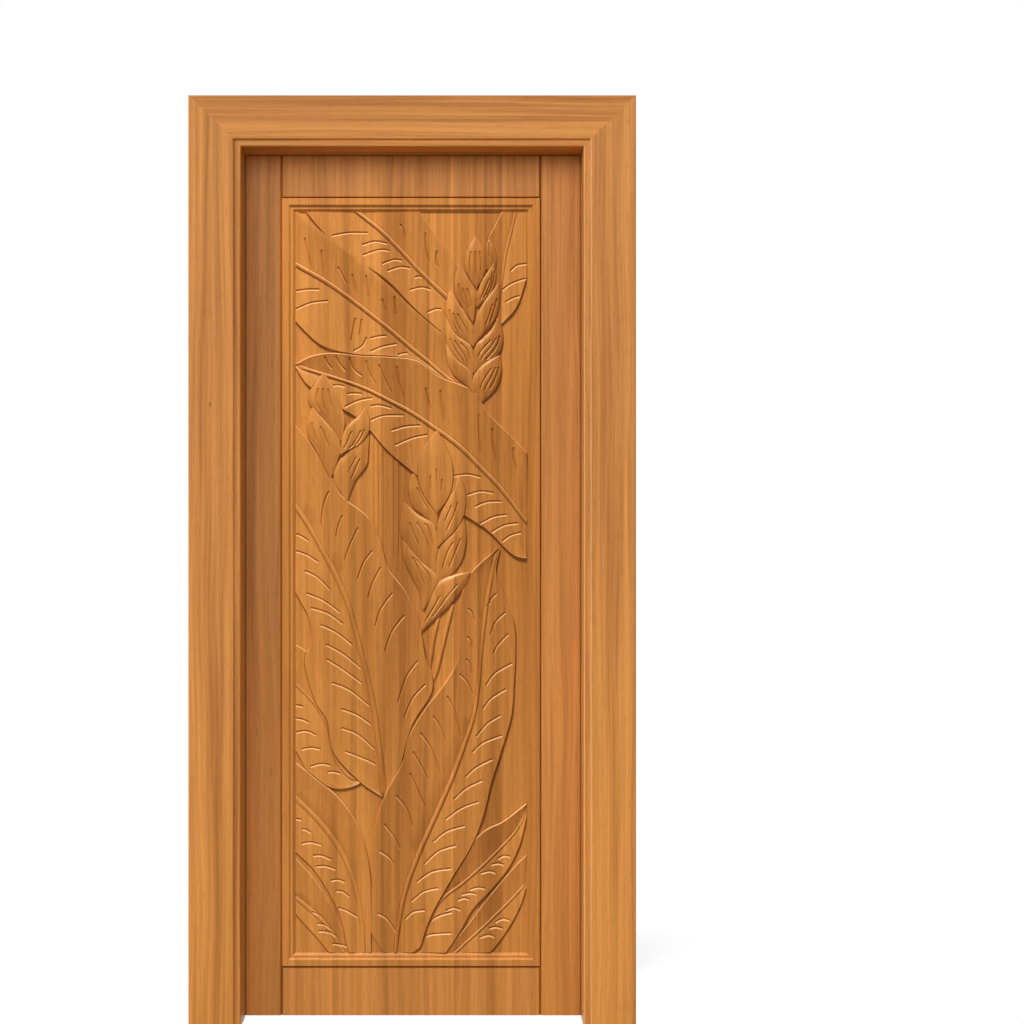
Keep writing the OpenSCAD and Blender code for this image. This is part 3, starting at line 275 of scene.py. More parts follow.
BRACTS = (
    Bract(
        "upper_a",
        rows=(
            (422, 1683, 424, 1685, 426, 1683), (402, 1646, 424, 1645, 445, 1647),
            (398, 1613, 425, 1608, 450, 1613), (409, 1586, 426, 1583, 439, 1583),
            (424, 1564, 426, 1562, 428, 1564),
        ),
        gouges=((-0.5, 0.3, 0.62), (0.0, 0.28, 0.66), (0.5, 0.3, 0.62)),
    ),
    Bract(
        "upper_b",
        rows=(
            (454, 1676, 456, 1678, 458, 1676), (448, 1660, 460, 1658, 470, 1653),
            (446, 1633, 461, 1630, 474, 1628), (448, 1608, 460, 1603, 471, 1603),
        ),
        gouges=((-0.3, 0.15, 0.55),),
    ),
    Bract(
        "upper_c",
        rows=(
            (467, 1625, 468, 1626, 469, 1624), (452, 1600, 462, 1596, 472, 1593),
            (438, 1578, 454, 1568, 468, 1566), (428, 1548, 441, 1540, 456, 1544),
            (424, 1522, 428, 1518, 433, 1522),
        ),
        gouges=((-0.2, 0.34, 0.8), (0.2, 0.24, 0.78), (0.6, 0.2, 0.7)),
    ),
    Bract(
        "upper_d",
        rows=(
            (380, 1613, 384, 1616, 389, 1614), (374, 1583, 388, 1583, 404, 1588),
            (376, 1548, 394, 1550, 416, 1560), (391, 1520, 404, 1520, 424, 1538),
            (413, 1486, 416, 1482, 420, 1488),
        ),
        gouges=((-0.4, 0.3, 0.66), (0.1, 0.36, 0.7), (0.5, 0.4, 0.7)),
    ),
    Bract(
        "upper_e",
        rows=(
            (477, 1573, 479, 1575, 481, 1572), (459, 1550, 470, 1546, 481, 1543),
            (439, 1523, 458, 1513, 478, 1513), (424, 1488, 444, 1473, 466, 1483),
            (416, 1430, 419, 1426, 424, 1432),
        ),
        gouges=((0.15, 0.3, 0.62), (0.55, 0.22, 0.6)),
    ),
    Bract(
        "upper_f",
        rows=(
            (360, 1553, 364, 1556, 369, 1552), (353, 1523, 366, 1523, 381, 1530),
            (354, 1488, 374, 1488, 398, 1503), (371, 1456, 391, 1456, 414, 1478),
            (413, 1430, 417, 1425, 420, 1433),
        ),
        gouges=((-0.4, 0.28, 0.64), (0.05, 0.34, 0.68), (0.45, 0.4, 0.7)),
    ),
    Bract(
        "upper_g",
        rows=(
            (474, 1490, 479, 1493, 482, 1488), (461, 1465, 476, 1456, 488, 1453),
            (441, 1445, 462, 1428, 483, 1418), (422, 1423, 441, 1403, 461, 1390),
            (414, 1373, 419, 1363, 426, 1368),
        ),
        gouges=((-0.35, 0.4, 0.74), (0.05, 0.3, 0.74), (0.5, 0.24, 0.7)),
    ),
    Bract(
        "upper_h",
        rows=(
            (352, 1493, 355, 1496, 359, 1491), (352, 1453, 364, 1458, 378, 1453),
            (359, 1418, 378, 1423, 401, 1438), (381, 1388, 398, 1393, 416, 1418),
            (411, 1353, 414, 1348, 418, 1356),
        ),
        gouges=((-0.3, 0.32, 0.66), (0.15, 0.36, 0.72), (0.55, 0.42, 0.72)),
    ),
    Bract(
        "upper_i",
        rows=(
            (476, 1403, 480, 1405, 482, 1401), (454, 1393, 472, 1383, 485, 1378),
            (428, 1370, 456, 1353, 481, 1348), (416, 1340, 441, 1326, 469, 1323),
            (433, 1296, 436, 1292, 442, 1296),
        ),
        gouges=((-0.2, 0.28, 0.7), (0.2, 0.22, 0.72), (0.6, 0.2, 0.66)),
    ),
    Bract(
        "upper_j",
        rows=(
            (352, 1428, 355, 1431, 359, 1426), (356, 1393, 368, 1396, 381, 1393),
            (371, 1360, 388, 1366, 406, 1375), (396, 1338, 406, 1340, 416, 1348),
            (416, 1318, 419, 1314, 422, 1320),
        ),
        gouges=(),
    ),
    Bract(
        "left_a",
        rows=(
            (63, 1361, 66, 1364, 69, 1361), (36, 1326, 64, 1323, 89, 1328), (31, 1293, 66, 1283, 108, 1283),
            (61, 1256, 86, 1248, 116, 1250), (102, 1206, 106, 1202, 110, 1206),
        ),
        gouges=((-0.4, 0.2, 0.53), (0.05, 0.2, 0.53), (0.5, 0.22, 0.44)),
    ),
    Bract(
        "left_b",
        rows=(
            (38, 1280, 41, 1284, 45, 1279), (26, 1248, 46, 1245, 71, 1250), (30, 1213, 58, 1210, 96, 1220),
            (54, 1168, 76, 1166, 106, 1183), (78, 1120, 81, 1116, 86, 1122),
        ),
        gouges=((-0.4, 0.2, 0.46), (0.3, 0.26, 0.56)),
    ),
    Bract(
        "left_e", edge=5.0, crown=7.0,
        rows=(
            (168, 1226, 171, 1230, 174, 1225), (121, 1178, 151, 1173, 172, 1178),
            (91, 1138, 131, 1133, 168, 1146), (96, 1103, 121, 1096, 141, 1110),
            (118, 1063, 121, 1059, 124, 1065),
        ),
        gouges=((-0.1, 0.36, 0.58), (0.3, 0.4, 0.7)),
    ),
    Bract(
        "left_c", edge=8.4, crown=9.7, sink=0.08,
        rows=(
            (161, 1278, 164, 1282, 167, 1278), (141, 1256, 158, 1250, 174, 1253),
            (118, 1233, 146, 1220, 173, 1226), (109, 1203, 131, 1193, 154, 1198),
            (104, 1175, 108, 1171, 113, 1176),
        ),
        gouges=((-0.45, 0.44, 0.8), (0.2, 0.4, 0.78), (0.55, 0.38, 0.7)),
    ),
    Bract(
        "middle_b", edge=5.0, crown=7.4,
        rows=(
            (274, 1126, 278, 1129, 282, 1125), (265, 1088, 280, 1088, 296, 1093),
            (276, 1048, 294, 1051, 316, 1060), (301, 1028, 314, 1026, 333, 1036),
            (326, 1000, 329, 996, 333, 1003),
        ),
        gouges=((0.45, 0.24, 0.62),),
    ),
    Bract(
        "middle_d",
        rows=(
            (251, 1058, 254, 1061, 258, 1057), (246, 1018, 266, 1020, 291, 1028),
            (248, 978, 281, 978, 326, 1006), (276, 933, 304, 933, 334, 958), (324, 893, 328, 888, 333, 896),
        ),
        gouges=((0.0, 0.26, 0.54), (0.4, 0.3, 0.6), (0.7, 0.36, 0.64)),
    ),
    Bract(
        "middle_e", edge=5.0, crown=7.2,
        rows=(
            (391, 1023, 395, 1026, 398, 1020), (371, 988, 388, 978, 402, 978), (338, 956, 371, 938, 396, 933),
            (330, 908, 354, 898, 376, 898), (330, 870, 334, 865, 340, 870),
        ),
        gouges=((-0.35, 0.38, 0.74), (0.15, 0.28, 0.7)),
    ),
    Bract(
        "middle_f",
        rows=(
            (249, 968, 252, 972, 256, 966), (254, 928, 276, 928, 298, 918), (271, 888, 294, 888, 328, 893),
            (291, 848, 306, 853, 333, 868), (296, 813, 301, 806, 308, 816),
        ),
        gouges=((0.0, 0.28, 0.66), (0.5, 0.28, 0.66)),
    ),
    Bract(
        "middle_c", edge=7.4, crown=8.8, sink=0.12,
        rows=(
            (383, 1118, 386, 1121, 389, 1116), (371, 1086, 386, 1080, 401, 1080),
            (351, 1053, 376, 1038, 398, 1033), (334, 1008, 356, 993, 378, 996),
            (332, 960, 336, 954, 342, 960),
        ),
        gouges=((-0.45, 0.42, 0.64), (0.0, 0.34, 0.72)),
    ),
    Bract(
        "middle_h",
        rows=(
            (407, 894, 412, 897, 413, 892), (371, 888, 391, 876, 404, 870), (334, 868, 361, 843, 384, 843),
            (314, 823, 336, 808, 356, 810), (290, 763, 294, 754, 304, 760),
        ),
        gouges=((-0.4, 0.5, 0.84), (0.05, 0.26, 0.76)),
    ),
    Bract(
        "middle_a", edge=8.0, crown=9.7, sink=0.12,
        rows=(
            (331, 1226, 333, 1229, 335, 1226), (306, 1193, 332, 1188, 354, 1193),
            (289, 1148, 331, 1138, 370, 1148), (290, 1103, 331, 1093, 370, 1098),
            (309, 1063, 332, 1058, 356, 1063), (331, 1036, 333, 1032, 336, 1037),
        ),
        gouges=((-0.3, 0.5, 0.66), (0.05, 0.42, 0.56), (0.35, 0.54, 0.68)),
    ),
)
STALKS = (
    (371, 823, 354, 753, 334, 668, 324, 636),
    (338, 793, 324, 733, 316, 668),
    (294, 753, 300, 716, 308, 680),
)
REEDS = (180, 191, 202, 226, 238)
REED_FROM, REED_TO, REED_STEPS = 900, 1265, 24

LENGTH = {"min": 0.1 * MM, "max": 300.0 * MM, "unit": "LENGTH"}
COLOUR = {"size": 3, "min": 0.0, "max": 1.0, "subtype": "COLOR"}
POWER = {"min": 0.0, "max": 50.0}


class CarvingSettings(bpy.types.PropertyGroup):
    """Sizes of the carving on the panel."""

    pitch: FloatProperty(
        name="Section Pitch", description="Distance between the sections of a frond", default=6.0 * MM, **LENGTH
    )
    vein_width: FloatProperty(
        name="Vein Width", description="Width of a vein cut at the surface", default=6.6 * MM, **LENGTH
    )
    vein_depth: FloatProperty(
        name="Vein Depth", description="Depth of a vein cut", default=2.9 * MM, **LENGTH
    )
    stop_cut: FloatProperty(
        name="Stop Cut", description="Width of the cut that sets in a form's outline", default=1.1 * MM, **LENGTH
    )
    gouge_width: FloatProperty(
        name="Gouge Width", description="Width of the gouge cuts on the bracts", default=6.2 * MM, **LENGTH
    )
    gouge_depth: FloatProperty(
        name="Gouge Depth", description="Depth of the gouge cuts on the bracts", default=2.4 * MM, **LENGTH
    )
    reed_width: FloatProperty(
        name="Reed Width", description="Half width of the reeds in the ground", default=5.0 * MM, **LENGTH
    )
    reed_rise: FloatProperty(
        name="Reed Rise", description="Height of the reeds in the ground", default=2.2 * MM, **LENGTH
    )
    stalk_width: FloatProperty(
        name="Stalk Width", description="Half width of the stalks below the flowers", default=5.0 * MM, **LENGTH
    )
    stalk_rise: FloatProperty(
        name="Stalk Rise", description="Height of the stalks below the flowers", default=5.0 * MM, **LENGTH
    )


class TimberSettings(bpy.types.PropertyGroup):
    """Finish of the teak and of the brass."""

    casing_ease: FloatProperty(
        name="Casing Arris", description="Rounding of the long arrises of the casing", default=2.8 * MM, **LENGTH
    )
    ease: FloatProperty(
        name="Eased Arris", description="Rounding of the other long arrises", default=0.9 * MM, **LENGTH
    )
    stave: FloatProperty(
        name="Stave Width", description="Width of the staves of the leaf", default=57.0 * MM, **LENGTH
    )
    light: FloatVectorProperty(
        name="Light Teak", description="Early wood of the teak", default=(0.70, 0.276, 0.056), **COLOUR
    )
    dark: FloatVectorProperty(
        name="Dark Teak", description="Late wood of the teak", default=(0.31, 0.103, 0.014), **COLOUR
    )
    casing_light: FloatVectorProperty(
        name="Light Casing", description="Early wood of the casing", default=(0.75, 0.302, 0.062), **COLOUR
    )
    casing_dark: FloatVectorProperty(
        name="Dark Casing", description="Late wood of the casing", default=(0.38, 0.127, 0.017), **COLOUR
    )
    slot_width: FloatProperty(
        name="Slot Width", description="Width of the driver slots in the screws", default=1.1 * MM, **LENGTH
    )
    slot_depth: FloatProperty(
        name="Slot Depth", description="Depth of the driver slots in the screws", default=1.2 * MM, **LENGTH
    )
    brass: FloatVectorProperty(
        name="Brass", description="Colour of the hinges and screws", default=(0.62, 0.42, 0.16), **COLOUR
    )


class StudioSettings(bpy.types.PropertyGroup):
    """Camera and light."""

    lens: FloatProperty(
        name="Lens", description="Focal length", default=63.6, min=10.0, max=300.0, subtype="DISTANCE_CAMERA"
    )
    side: FloatProperty(
        name="Side Light", description="Strength of the broad lamp on the left", default=1.45, **POWER
    )
    front: FloatProperty(
        name="Front Light", description="Strength of the broad lamp in front", default=1.25, **POWER
    )
    carving_light: FloatProperty(
        name="Carving Light", description="Strength of the high lamp for the carving", default=3.45, **POWER
    )
    glow: FloatProperty(
        name="Upper Glow", description="Strength of the small lamp above the panel", default=4.5, **POWER
    )
    back: FloatProperty(
        name="Back Light", description="How much stronger the even light is behind the door", default=1.6, **POWER
    )
    fill: FloatProperty(
        name="Fill Light", description="Strength of the even light around", default=0.27, **POWER
    )
    backdrop: FloatVectorProperty(
        name="Backdrop", description="Colour behind the door", default=(1.0, 1.0, 1.0), **COLOUR
    )


# Drawing

def between(a, b, c, d, f):
    """Values a share f of the way from b to c on a smooth curve through a, b, c and d."""
    return tuple(
        0.5 * (2 * q + (r - p) * f + (2 * p - 5 * q + 4 * r - s) * f * f + (3 * q - p - 3 * r + s) * f ** 3)
        for p, q, r, s in zip(a, b, c, d)
    )


def smoothed(rows, pitch):
    """Rows of a drawing with more of them between, about pitch millimetres apart."""
    last = len(rows) - 1
    out = []
    for i in range(last):
        a, b, c, d = (rows[max(0, min(last, k))] for k in (i - 1, i, i + 1, i + 2))
        span = max(math.dist(b[k:k + 2], c[k:k + 2]) for k in range(0, len(b), 2))
        steps = max(2, round(span / pitch))
        out += [between(a, b, c, d, j / steps) for j in range(steps)]
    return out + [rows[last]]


def stroke_points(flat, pitch):
    """Points of a stroke that is given as a flat row of numbers."""
    return smoothed([flat[k:k + 2] for k in range(0, len(flat), 2)], pitch)


def row_points(row):
    """First edge, middle and second edge of a row."""
    return row[0:2], row[2:4], row[4:6]


def on_board(point, height):
    """Place of a point of the drawing, raised above the ground by a height in millimetres."""
    return Vector((ART_LEFT + point[0] * ACROSS, GROUND - height * MM, ART_BOTTOM + point[1] * UPWARD))


def part_way(p, q, f):
    """Point a share f of the way from p to q."""
    return (p[0] + (q[0] - p[0]) * f, p[1] + (q[1] - p[1]) * f)


# Solids

WELD = 0.01 * MM
FLAT_WITHIN = math.radians(0.5)
# An arris is eased from this length and angle up, and is slanting if it strays this far from an axis.
ARRIS_LENGTH, ARRIS_ANGLE, ARRIS_SLANT = 40 * MM, math.radians(25), 1 * MM


def linked(name, data):
    """Object in the scene."""
    obj = bpy.data.objects.new(name, data)
    bpy.context.scene.collection.objects.link(obj)
    return obj


def welded(mesh):
    """Editable copy of a mesh with the corners that lie on each other joined."""
    bm = bmesh.new()
    bm.from_mesh(mesh)
    bmesh.ops.remove_doubles(bm, verts=bm.verts, dist=WELD)
    return bm


def mesh_of(bm, name):
    """Plain mesh of an editable one, which is given up."""
    mesh = bpy.data.meshes.new(name)
    bm.to_mesh(mesh)
    bm.free()
    return mesh


def closed_mesh(name, verts, faces):
    """Mesh of a closed skin with its faces pointing outwards."""
    mesh = bpy.data.meshes.new(name)
    mesh.from_pydata(verts, [], faces)
    bm = bmesh.new()
    bm.from_mesh(mesh)
    if bm.calc_volume(signed=True) < 0:
        bmesh.ops.reverse_faces(bm, faces=bm.faces)
    bm.to_mesh(mesh)
    bm.free()
    return mesh


def loft(name, drawn):
    """Skin over drawn sections of points and heights; each end is a fan about the last but one point."""
    sections = [[on_board(p, h) for p, h in section] for section in drawn]
    n = len(sections[0])
    faces = []
    for i in range(len(sections) - 1):
        for j in range(n):
            a, b = i * n + j, i * n + (j + 1) % n
            faces += [(a, b, b + n), (a, b + n, a + n)]
    end = (len(sections) - 1) * n
    for j in range(n):
        k = (j + 1) % n
        if n - 2 not in (j, k):
            faces += [(n - 2, k, j), (end + n - 2, end + j, end + k)]
    return closed_mesh(name, [p for s in sections for p in s], faces)


def block(name, low, high):
    """Box between two corners."""
    xs, ys, zs = zip(low, high)
    verts = [(x, y, z) for x in xs for y in ys for z in zs]
    faces = [(0, 1, 3, 2), (4, 6, 7, 5), (0, 4, 5, 1), (2, 3, 7, 6), (0, 2, 6, 4), (1, 5, 7, 3)]
    return closed_mesh(name, verts, faces)


def evaluated_mesh(obj):
    """Plain mesh of an object with its modifiers applied."""
    graph = bpy.context.evaluated_depsgraph_get()
    return bpy.data.meshes.new_from_object(obj.evaluated_get(graph))


def combined(mesh, tool, operation):
    """Mesh of one solid with another joined to it, cut from it or kept in common with it."""
    base, other = linked("solid", mesh), linked("tool", tool)
    modifier = base.modifiers.new("Combine", "BOOLEAN")
    modifier.operation = operation
    modifier.solver = "MANIFOLD"
    modifier.object = other
    result = evaluated_mesh(base)
    for obj, data in ((base, mesh), (other, tool)):
        bpy.data.objects.remove(obj)
        bpy.data.meshes.remove(data)
    if not result.polygons:
        raise RuntimeError("a carved solid came out empty")
    return result


def slanting(edge):
    """Whether an edge runs along none of the three axes."""
    run = edge.verts[1].co - edge.verts[0].co
    return sorted(abs(c) for c in run)[1] > ARRIS_SLANT


def eased(node, name, width, tight_mitres):
    """Copy of a timber with its long arrises rounded, those of its mitres too unless they stay tight."""
    bm = welded(node.data)
    bmesh.ops.dissolve_limit(bm, angle_limit=FLAT_WITHIN, verts=bm.verts, edges=bm.edges)
    arrises = [
        e for e in bm.edges
        if e.is_manifold and e.is_convex and e.calc_length() > ARRIS_LENGTH and e.calc_face_angle() > ARRIS_ANGLE
        and not (tight_mitres and slanting(e))
    ]
    bmesh.ops.bevel(
        bm, geom=arrises, offset=width, segments=2, profile=0.5, affect="EDGES", offset_type="OFFSET",
        clamp_overlap=True,
    )
    bmesh.ops.triangulate(bm, faces=bm.faces)
    open_edges = sum(not e.is_manifold for e in bm.edges)
    mesh = mesh_of(bm, name)
    if open_edges:
        raise RuntimeError(f"{name} came out open along {open_edges} edges")
    return linked(name, mesh)


def islands(mesh):
    """Corners of each separate solid of a mesh."""
    bm = welded(mesh)
    left = set(bm.verts)
    out = []
    for start in bm.verts:
        if start not in left:
            continue
        left.remove(start)
        reached = [start]
        for vert in reached:
            near = [e.other_vert(vert) for e in vert.link_edges]
            fresh = [v for v in near if v in left]
            left.difference_update(fresh)
            reached += fresh
        out.append([v.co.copy() for v in reached])
    bm.free()
    return sorted(out, key=lambda corners: tuple(round(c, 5) for c in sum(corners, Vector()) / len(corners)))


# Carved forms, in millimetres of the drawing or as shares of a form

ROOT = 2.0
CLEAR_ABOVE, CLEAR_BELOW = 14, -1
THIN = 0.01

BEAD_SHARE = 0.35
BEAD_STEPS = (0.35, 0.65, 0.88, 1.0, 1.3)
LIP, LIP_SHARE = 3.0, 0.22
TROUGH_STEPS, TROUGH_CURVE, TROUGH_NICK = 7, 1.25, 0.25

BRACT_PITCH = 4.0
BRACT_SIDES = (1.0, 0.95, 0.88, 0.78, 0.64, 0.48, 0.32, 0.16)
UPRIGHT_LEAN = 20
SINK_FROM, SINK_CURVE = 0.35, 1.4
TIP_LENGTH, TIP_DROP, TIP_CURVE = 0.28, 0.4, 1.5
EDGE_FALL, EDGE_CURVE = 0.65, 1.8
ROLL_FROM, ROLL_DROP, CROWN_DROP = 0.6, 0.46, 0.06
NOTCH_FROM, NOTCH_RUN = 0.5, 0.25
BRACT_CUT = 0.6

ARC_STEPS, END_STEPS, END_RISE, END_WIDTH = 8, 4, 0.25, 0.6


def rooted(points, row):
    """Closed section: points of a form's face, and its foot below the ground."""
    return points + [(p, -ROOT) for p in row_points(row)[::-1]]


def frond_side(rib, edge, frond, high, foot):
    """Points and heights of half a frond, from beside the rib out to the edge."""
    width = max(math.dist(rib, edge), THIN)
    bead = min(frond.rib, BEAD_SHARE * width)
    lip = min(LIP, LIP_SHARE * width)
    reach = [bead * k for k in BEAD_STEPS]
    reach += [bead + (width - lip - bead) * k / TROUGH_STEPS for k in range(2, TROUGH_STEPS + 1)]
    out = []
    for d in reach + [width]:
        f = d / width
        height = frond.low + (high - frond.low) * f ** TROUGH_CURVE
        height += frond.rise * min(1.0, bead / frond.rib) * math.sqrt(max(0.0, 1 - (d / bead) ** 2))
        if d == bead:
            height -= TROUGH_NICK * frond.rise * bead / frond.rib
        out.append((part_way(rib, edge, f), height))
    point, height = out[-1]
    out[-1] = (point, foot * height)
    return out


def frond_mesh(frond, rows):
    """A frond: troughs on both sides of a beaded rib, with crisp edges down to the ground."""
    sections = []
    for row in rows:
        a, m, b = row_points(row)
        points = frond_side(m, a, frond, frond.first, frond.foot_first)[::-1]
        points.append((m, frond.low + frond.rise * min(1.0, BEAD_SHARE * math.dist(m, a) / frond.rib)))
        points += frond_side(m, b, frond, frond.second, frond.foot_second)
        sections.append(rooted(points, row))
    return loft(frond.name, sections)


def inner_side(rows):
    """Side of a bract's edge that faces the middle of its flower: -1 first, 1 second, 0 none."""
    lean = rows[0][2] - rows[-1][2]
    return 0 if abs(lean) < UPRIGHT_LEAN else -1 if lean > 0 else 1


def bract_height(bract, side, along):
    """Height of a bract: rising from its tip, sinking to its lower end, rolled over at both edges."""
    share = 1 - bract.sink * (max(0.0, along - SINK_FROM) / (1 - SINK_FROM)) ** SINK_CURVE
    share -= TIP_DROP * max(0.0, 1 - along / TIP_LENGTH) ** TIP_CURVE
    if inner_side(bract.rows) * side <= 0:
        fall = EDGE_FALL if abs(side) == 1 else 1.0
        return share * fall * (bract.edge + (bract.crown - bract.edge) * (1 - abs(side) ** EDGE_CURVE))
    # the roll of an inner edge dies away below the notch, where two bracts grow together
    roll = max(0.0, abs(side) - ROLL_FROM) / (1 - ROLL_FROM)
    apart = 1 - min(1.0, max(0.0, (along - NOTCH_FROM) / NOTCH_RUN))
    return share * bract.crown * (1 - CROWN_DROP * side * side - ROLL_DROP * apart * roll ** 2)


def bract_mesh(bract, rows):
    """A bract of a flower, pillowed across."""
    sections = []
    for i, row in enumerate(rows):
        a, m, b = row_points(row)
        t = i / (len(rows) - 1)
        points = [(part_way(m, a, s), bract_height(bract, -s, t)) for s in BRACT_SIDES]
        points.append((m, bract_height(bract, 0, t)))
        points += [(part_way(m, b, s), bract_height(bract, s, t)) for s in BRACT_SIDES[::-1]]
        sections.append(rooted(points, row))
    return loft(bract.name, sections)


def clearance_mesh(rows, cuts):
    """Space that what lies behind gives up to a form, with stop cuts of these widths at both edges."""
    sections = []
    for row in rows:
        a, m, b = row_points(row)
        first, second = (
            part_way(m, e, 1 + min(0.5, cut / MM / max(math.dist(e, m), THIN))) for e, cut in zip((a, b), cuts)
        )
        points = [(p, CLEAR_ABOVE) for p in (first, m, second)]
        sections.append(points + [(p, CLEAR_BELOW) for p in (second, m, first)])
    return loft("clearance", sections)


def ridge_mesh(name, path, width, rise):
    """Half round ridge along a path on the ground, tapering at both ends."""
    sections = []
    last = len(path) - 1
    for i, p in enumerate(path):
        q, r = path[max(0, i - 1)], path[min(last, i + 1)]
        run = math.dist(q, r)
        side = ((r[1] - q[1]) / run, (q[0] - r[0]) / run)
        taper = min(1.0, END_RISE + (1 - END_RISE) * min(i, last - i) / END_STEPS)
        angles = [math.pi * k / ARC_STEPS for k in range(ARC_STEPS + 1)]
        ring = [(math.cos(angle), math.sin(angle) * rise / MM * taper) for angle in angles]
        section = []
        for reach, height in ring + [(reach, -ROOT) for reach in (-1, 0, 1)]:
            reach = reach * width / MM * (END_WIDTH + (1 - END_WIDTH) * taper)
            section.append(((p[0] + side[0] * reach, p[1] + side[1] * reach), height))
        sections.append(section)
    return loft(name, sections)


# Nodes

class Wires:
    """Shorthand for placing and linking nodes."""

    def __init__(self, tree):
        self.tree = tree

    def node(self, kind, values=None, **settings):
        """Node with its settings made, then its sockets fed."""
        made = self.tree.nodes.new(kind)
        for name, value in settings.items():
            setattr(made, name, value)
        for name, value in (values or {}).items():
            self.feed(made.inputs[name], value)
        return made

    def feed(self, socket, value):
        """Link or value for a socket."""
        if isinstance(value, bpy.types.NodeSocket):
            self.tree.links.new(value, socket)
        else:
            socket.default_value = value

    def math(self, operation, a, b=0.0, clamp=False):
        """Result of a sum on one or two values."""
        return self.node("ShaderNodeMath", {0: a, 1: b}, operation=operation, use_clamp=clamp).outputs[0]

    def weighted(self, *terms):
        """Sum of values, each times its weight."""
        parts = [self.math("MULTIPLY", value, weight) for value, weight in terms]
        total = parts[0]
        for part in parts[1:]:
            total = self.math("ADD", total, part)
        return total

    def vector(self, operation, a, b):
        """Result of a sum on two vectors."""
        return self.node("ShaderNodeVectorMath", {0: a, 1: b}, operation=operation).outputs[0]

    def axes(self, vector):
        """The three parts of a vector."""
        return self.node("ShaderNodeSeparateXYZ", {0: vector}).outputs

    def facing(self, axis):
        """How much the surface faces along an axis."""
        return self.axes(self.node("ShaderNodeNewGeometry").outputs["Normal"])[axis]

    def place(self):
        """Place on the object."""
        return self.node("ShaderNodeTexCoord").outputs["Object"]

    def noise(self, vector, stretch, detail=2.0, rough=0.5):
        """Noise in a vector that is stretched along its axes first."""
        values = {"Vector": self.vector("MULTIPLY", vector, stretch), "Scale": 1.0, "Detail": detail}
        return self.node("ShaderNodeTexNoise", {**values, "Roughness": rough}).outputs["Fac"]

    def spread(self, value, low, high, to_low=0.0, to_high=1.0):
        """Value mapped from one range to another and held inside it."""
        return self.node("ShaderNodeMapRange", {0: value, 1: low, 2: high, 3: to_low, 4: to_high}).outputs[0]

    def mixed(self, fac, a, b, blend="MIX"):
        """Colour a with a share of colour b."""
        made = self.node("ShaderNodeMix", {0: fac, 6: a, 7: b}, data_type="RGBA", blend_type=blend)
        return made.outputs[2]

    def looked_at(self):
        """One where a ray comes from the camera, directly or by a mirror or glass, else nought."""
        rays = self.node("ShaderNodeLightPath").outputs
        bent = self.math("MAXIMUM", rays["Is Glossy Ray"], rays["Is Transmission Ray"])
        return self.math("MAXIMUM", rays["Is Camera Ray"], bent)


def wires_of(data):
    """Cleared nodes of a material or world."""
    data.use_nodes = True
    data.node_tree.nodes.clear()
    return Wires(data.node_tree)


def group(name, inputs, outputs, kind="Shader"):
    """Empty node group with named sockets."""
    tree = bpy.data.node_groups.new(name, kind + "NodeTree")
    for label, sort, *value in inputs:
        socket = tree.interface.new_socket(label, in_out="INPUT", socket_type="NodeSocket" + sort)
        if value:
            socket.default_value = value[0]
    for label, sort in outputs:
        tree.interface.new_socket(label, in_out="OUTPUT", socket_type="NodeSocket" + sort)
    given, made = tree.nodes.new("NodeGroupInput").outputs, tree.nodes.new("NodeGroupOutput").inputs
    return Wires(tree), given, made


def shaped_by(obj, tree, **values):
    """Plain mesh that geometry nodes make of an object, which is given up with its mesh."""
    modifier = obj.modifiers.new("Shape", "NODES")
    modifier.node_group = tree
    for item in tree.interface.items_tree:
        if item.name in values:
            modifier[item.identifier] = values[item.name]
    result, drawn = evaluated_mesh(obj), obj.data
    bpy.data.objects.remove(obj)
    bpy.data.meshes.remove(drawn)
    return result


def finish_tree(w, shape, given, made):
    """End of a tree of geometry nodes: plain geometry in its finish."""
    plain = w.node("GeometryNodeRealizeInstances", {"Geometry": shape}).outputs["Geometry"]
    finish = w.node("GeometryNodeSetMaterial", {"Geometry": plain, "Material": given["Finish"]})
    w.feed(made, finish.outputs["Geometry"])


# Cuts that follow strokes

STROKE_PITCH, STALK_PITCH, GOUGE_STEPS = 5.0, 8.0, 8
ABOVE_CARVING, LOWEST_CUT, FEWEST_POINTS, STEEP = 40, 0.2 * MM, 4, 1.2
# Widths along a stroke, as shares: length of the stop cut; least and added width, and curve, of fade and swell.
STOP_LENGTH = 0.1
FADE_LEAST, FADE_ADDED, FADE_CURVE = 0.14, 0.62, 0.6
SWELL_LEAST, SWELL_ADDED, SWELL_CURVE, SWELL_IN, SWELL_OUT = 0.18, 0.82, 0.7, 2.8, 3.2


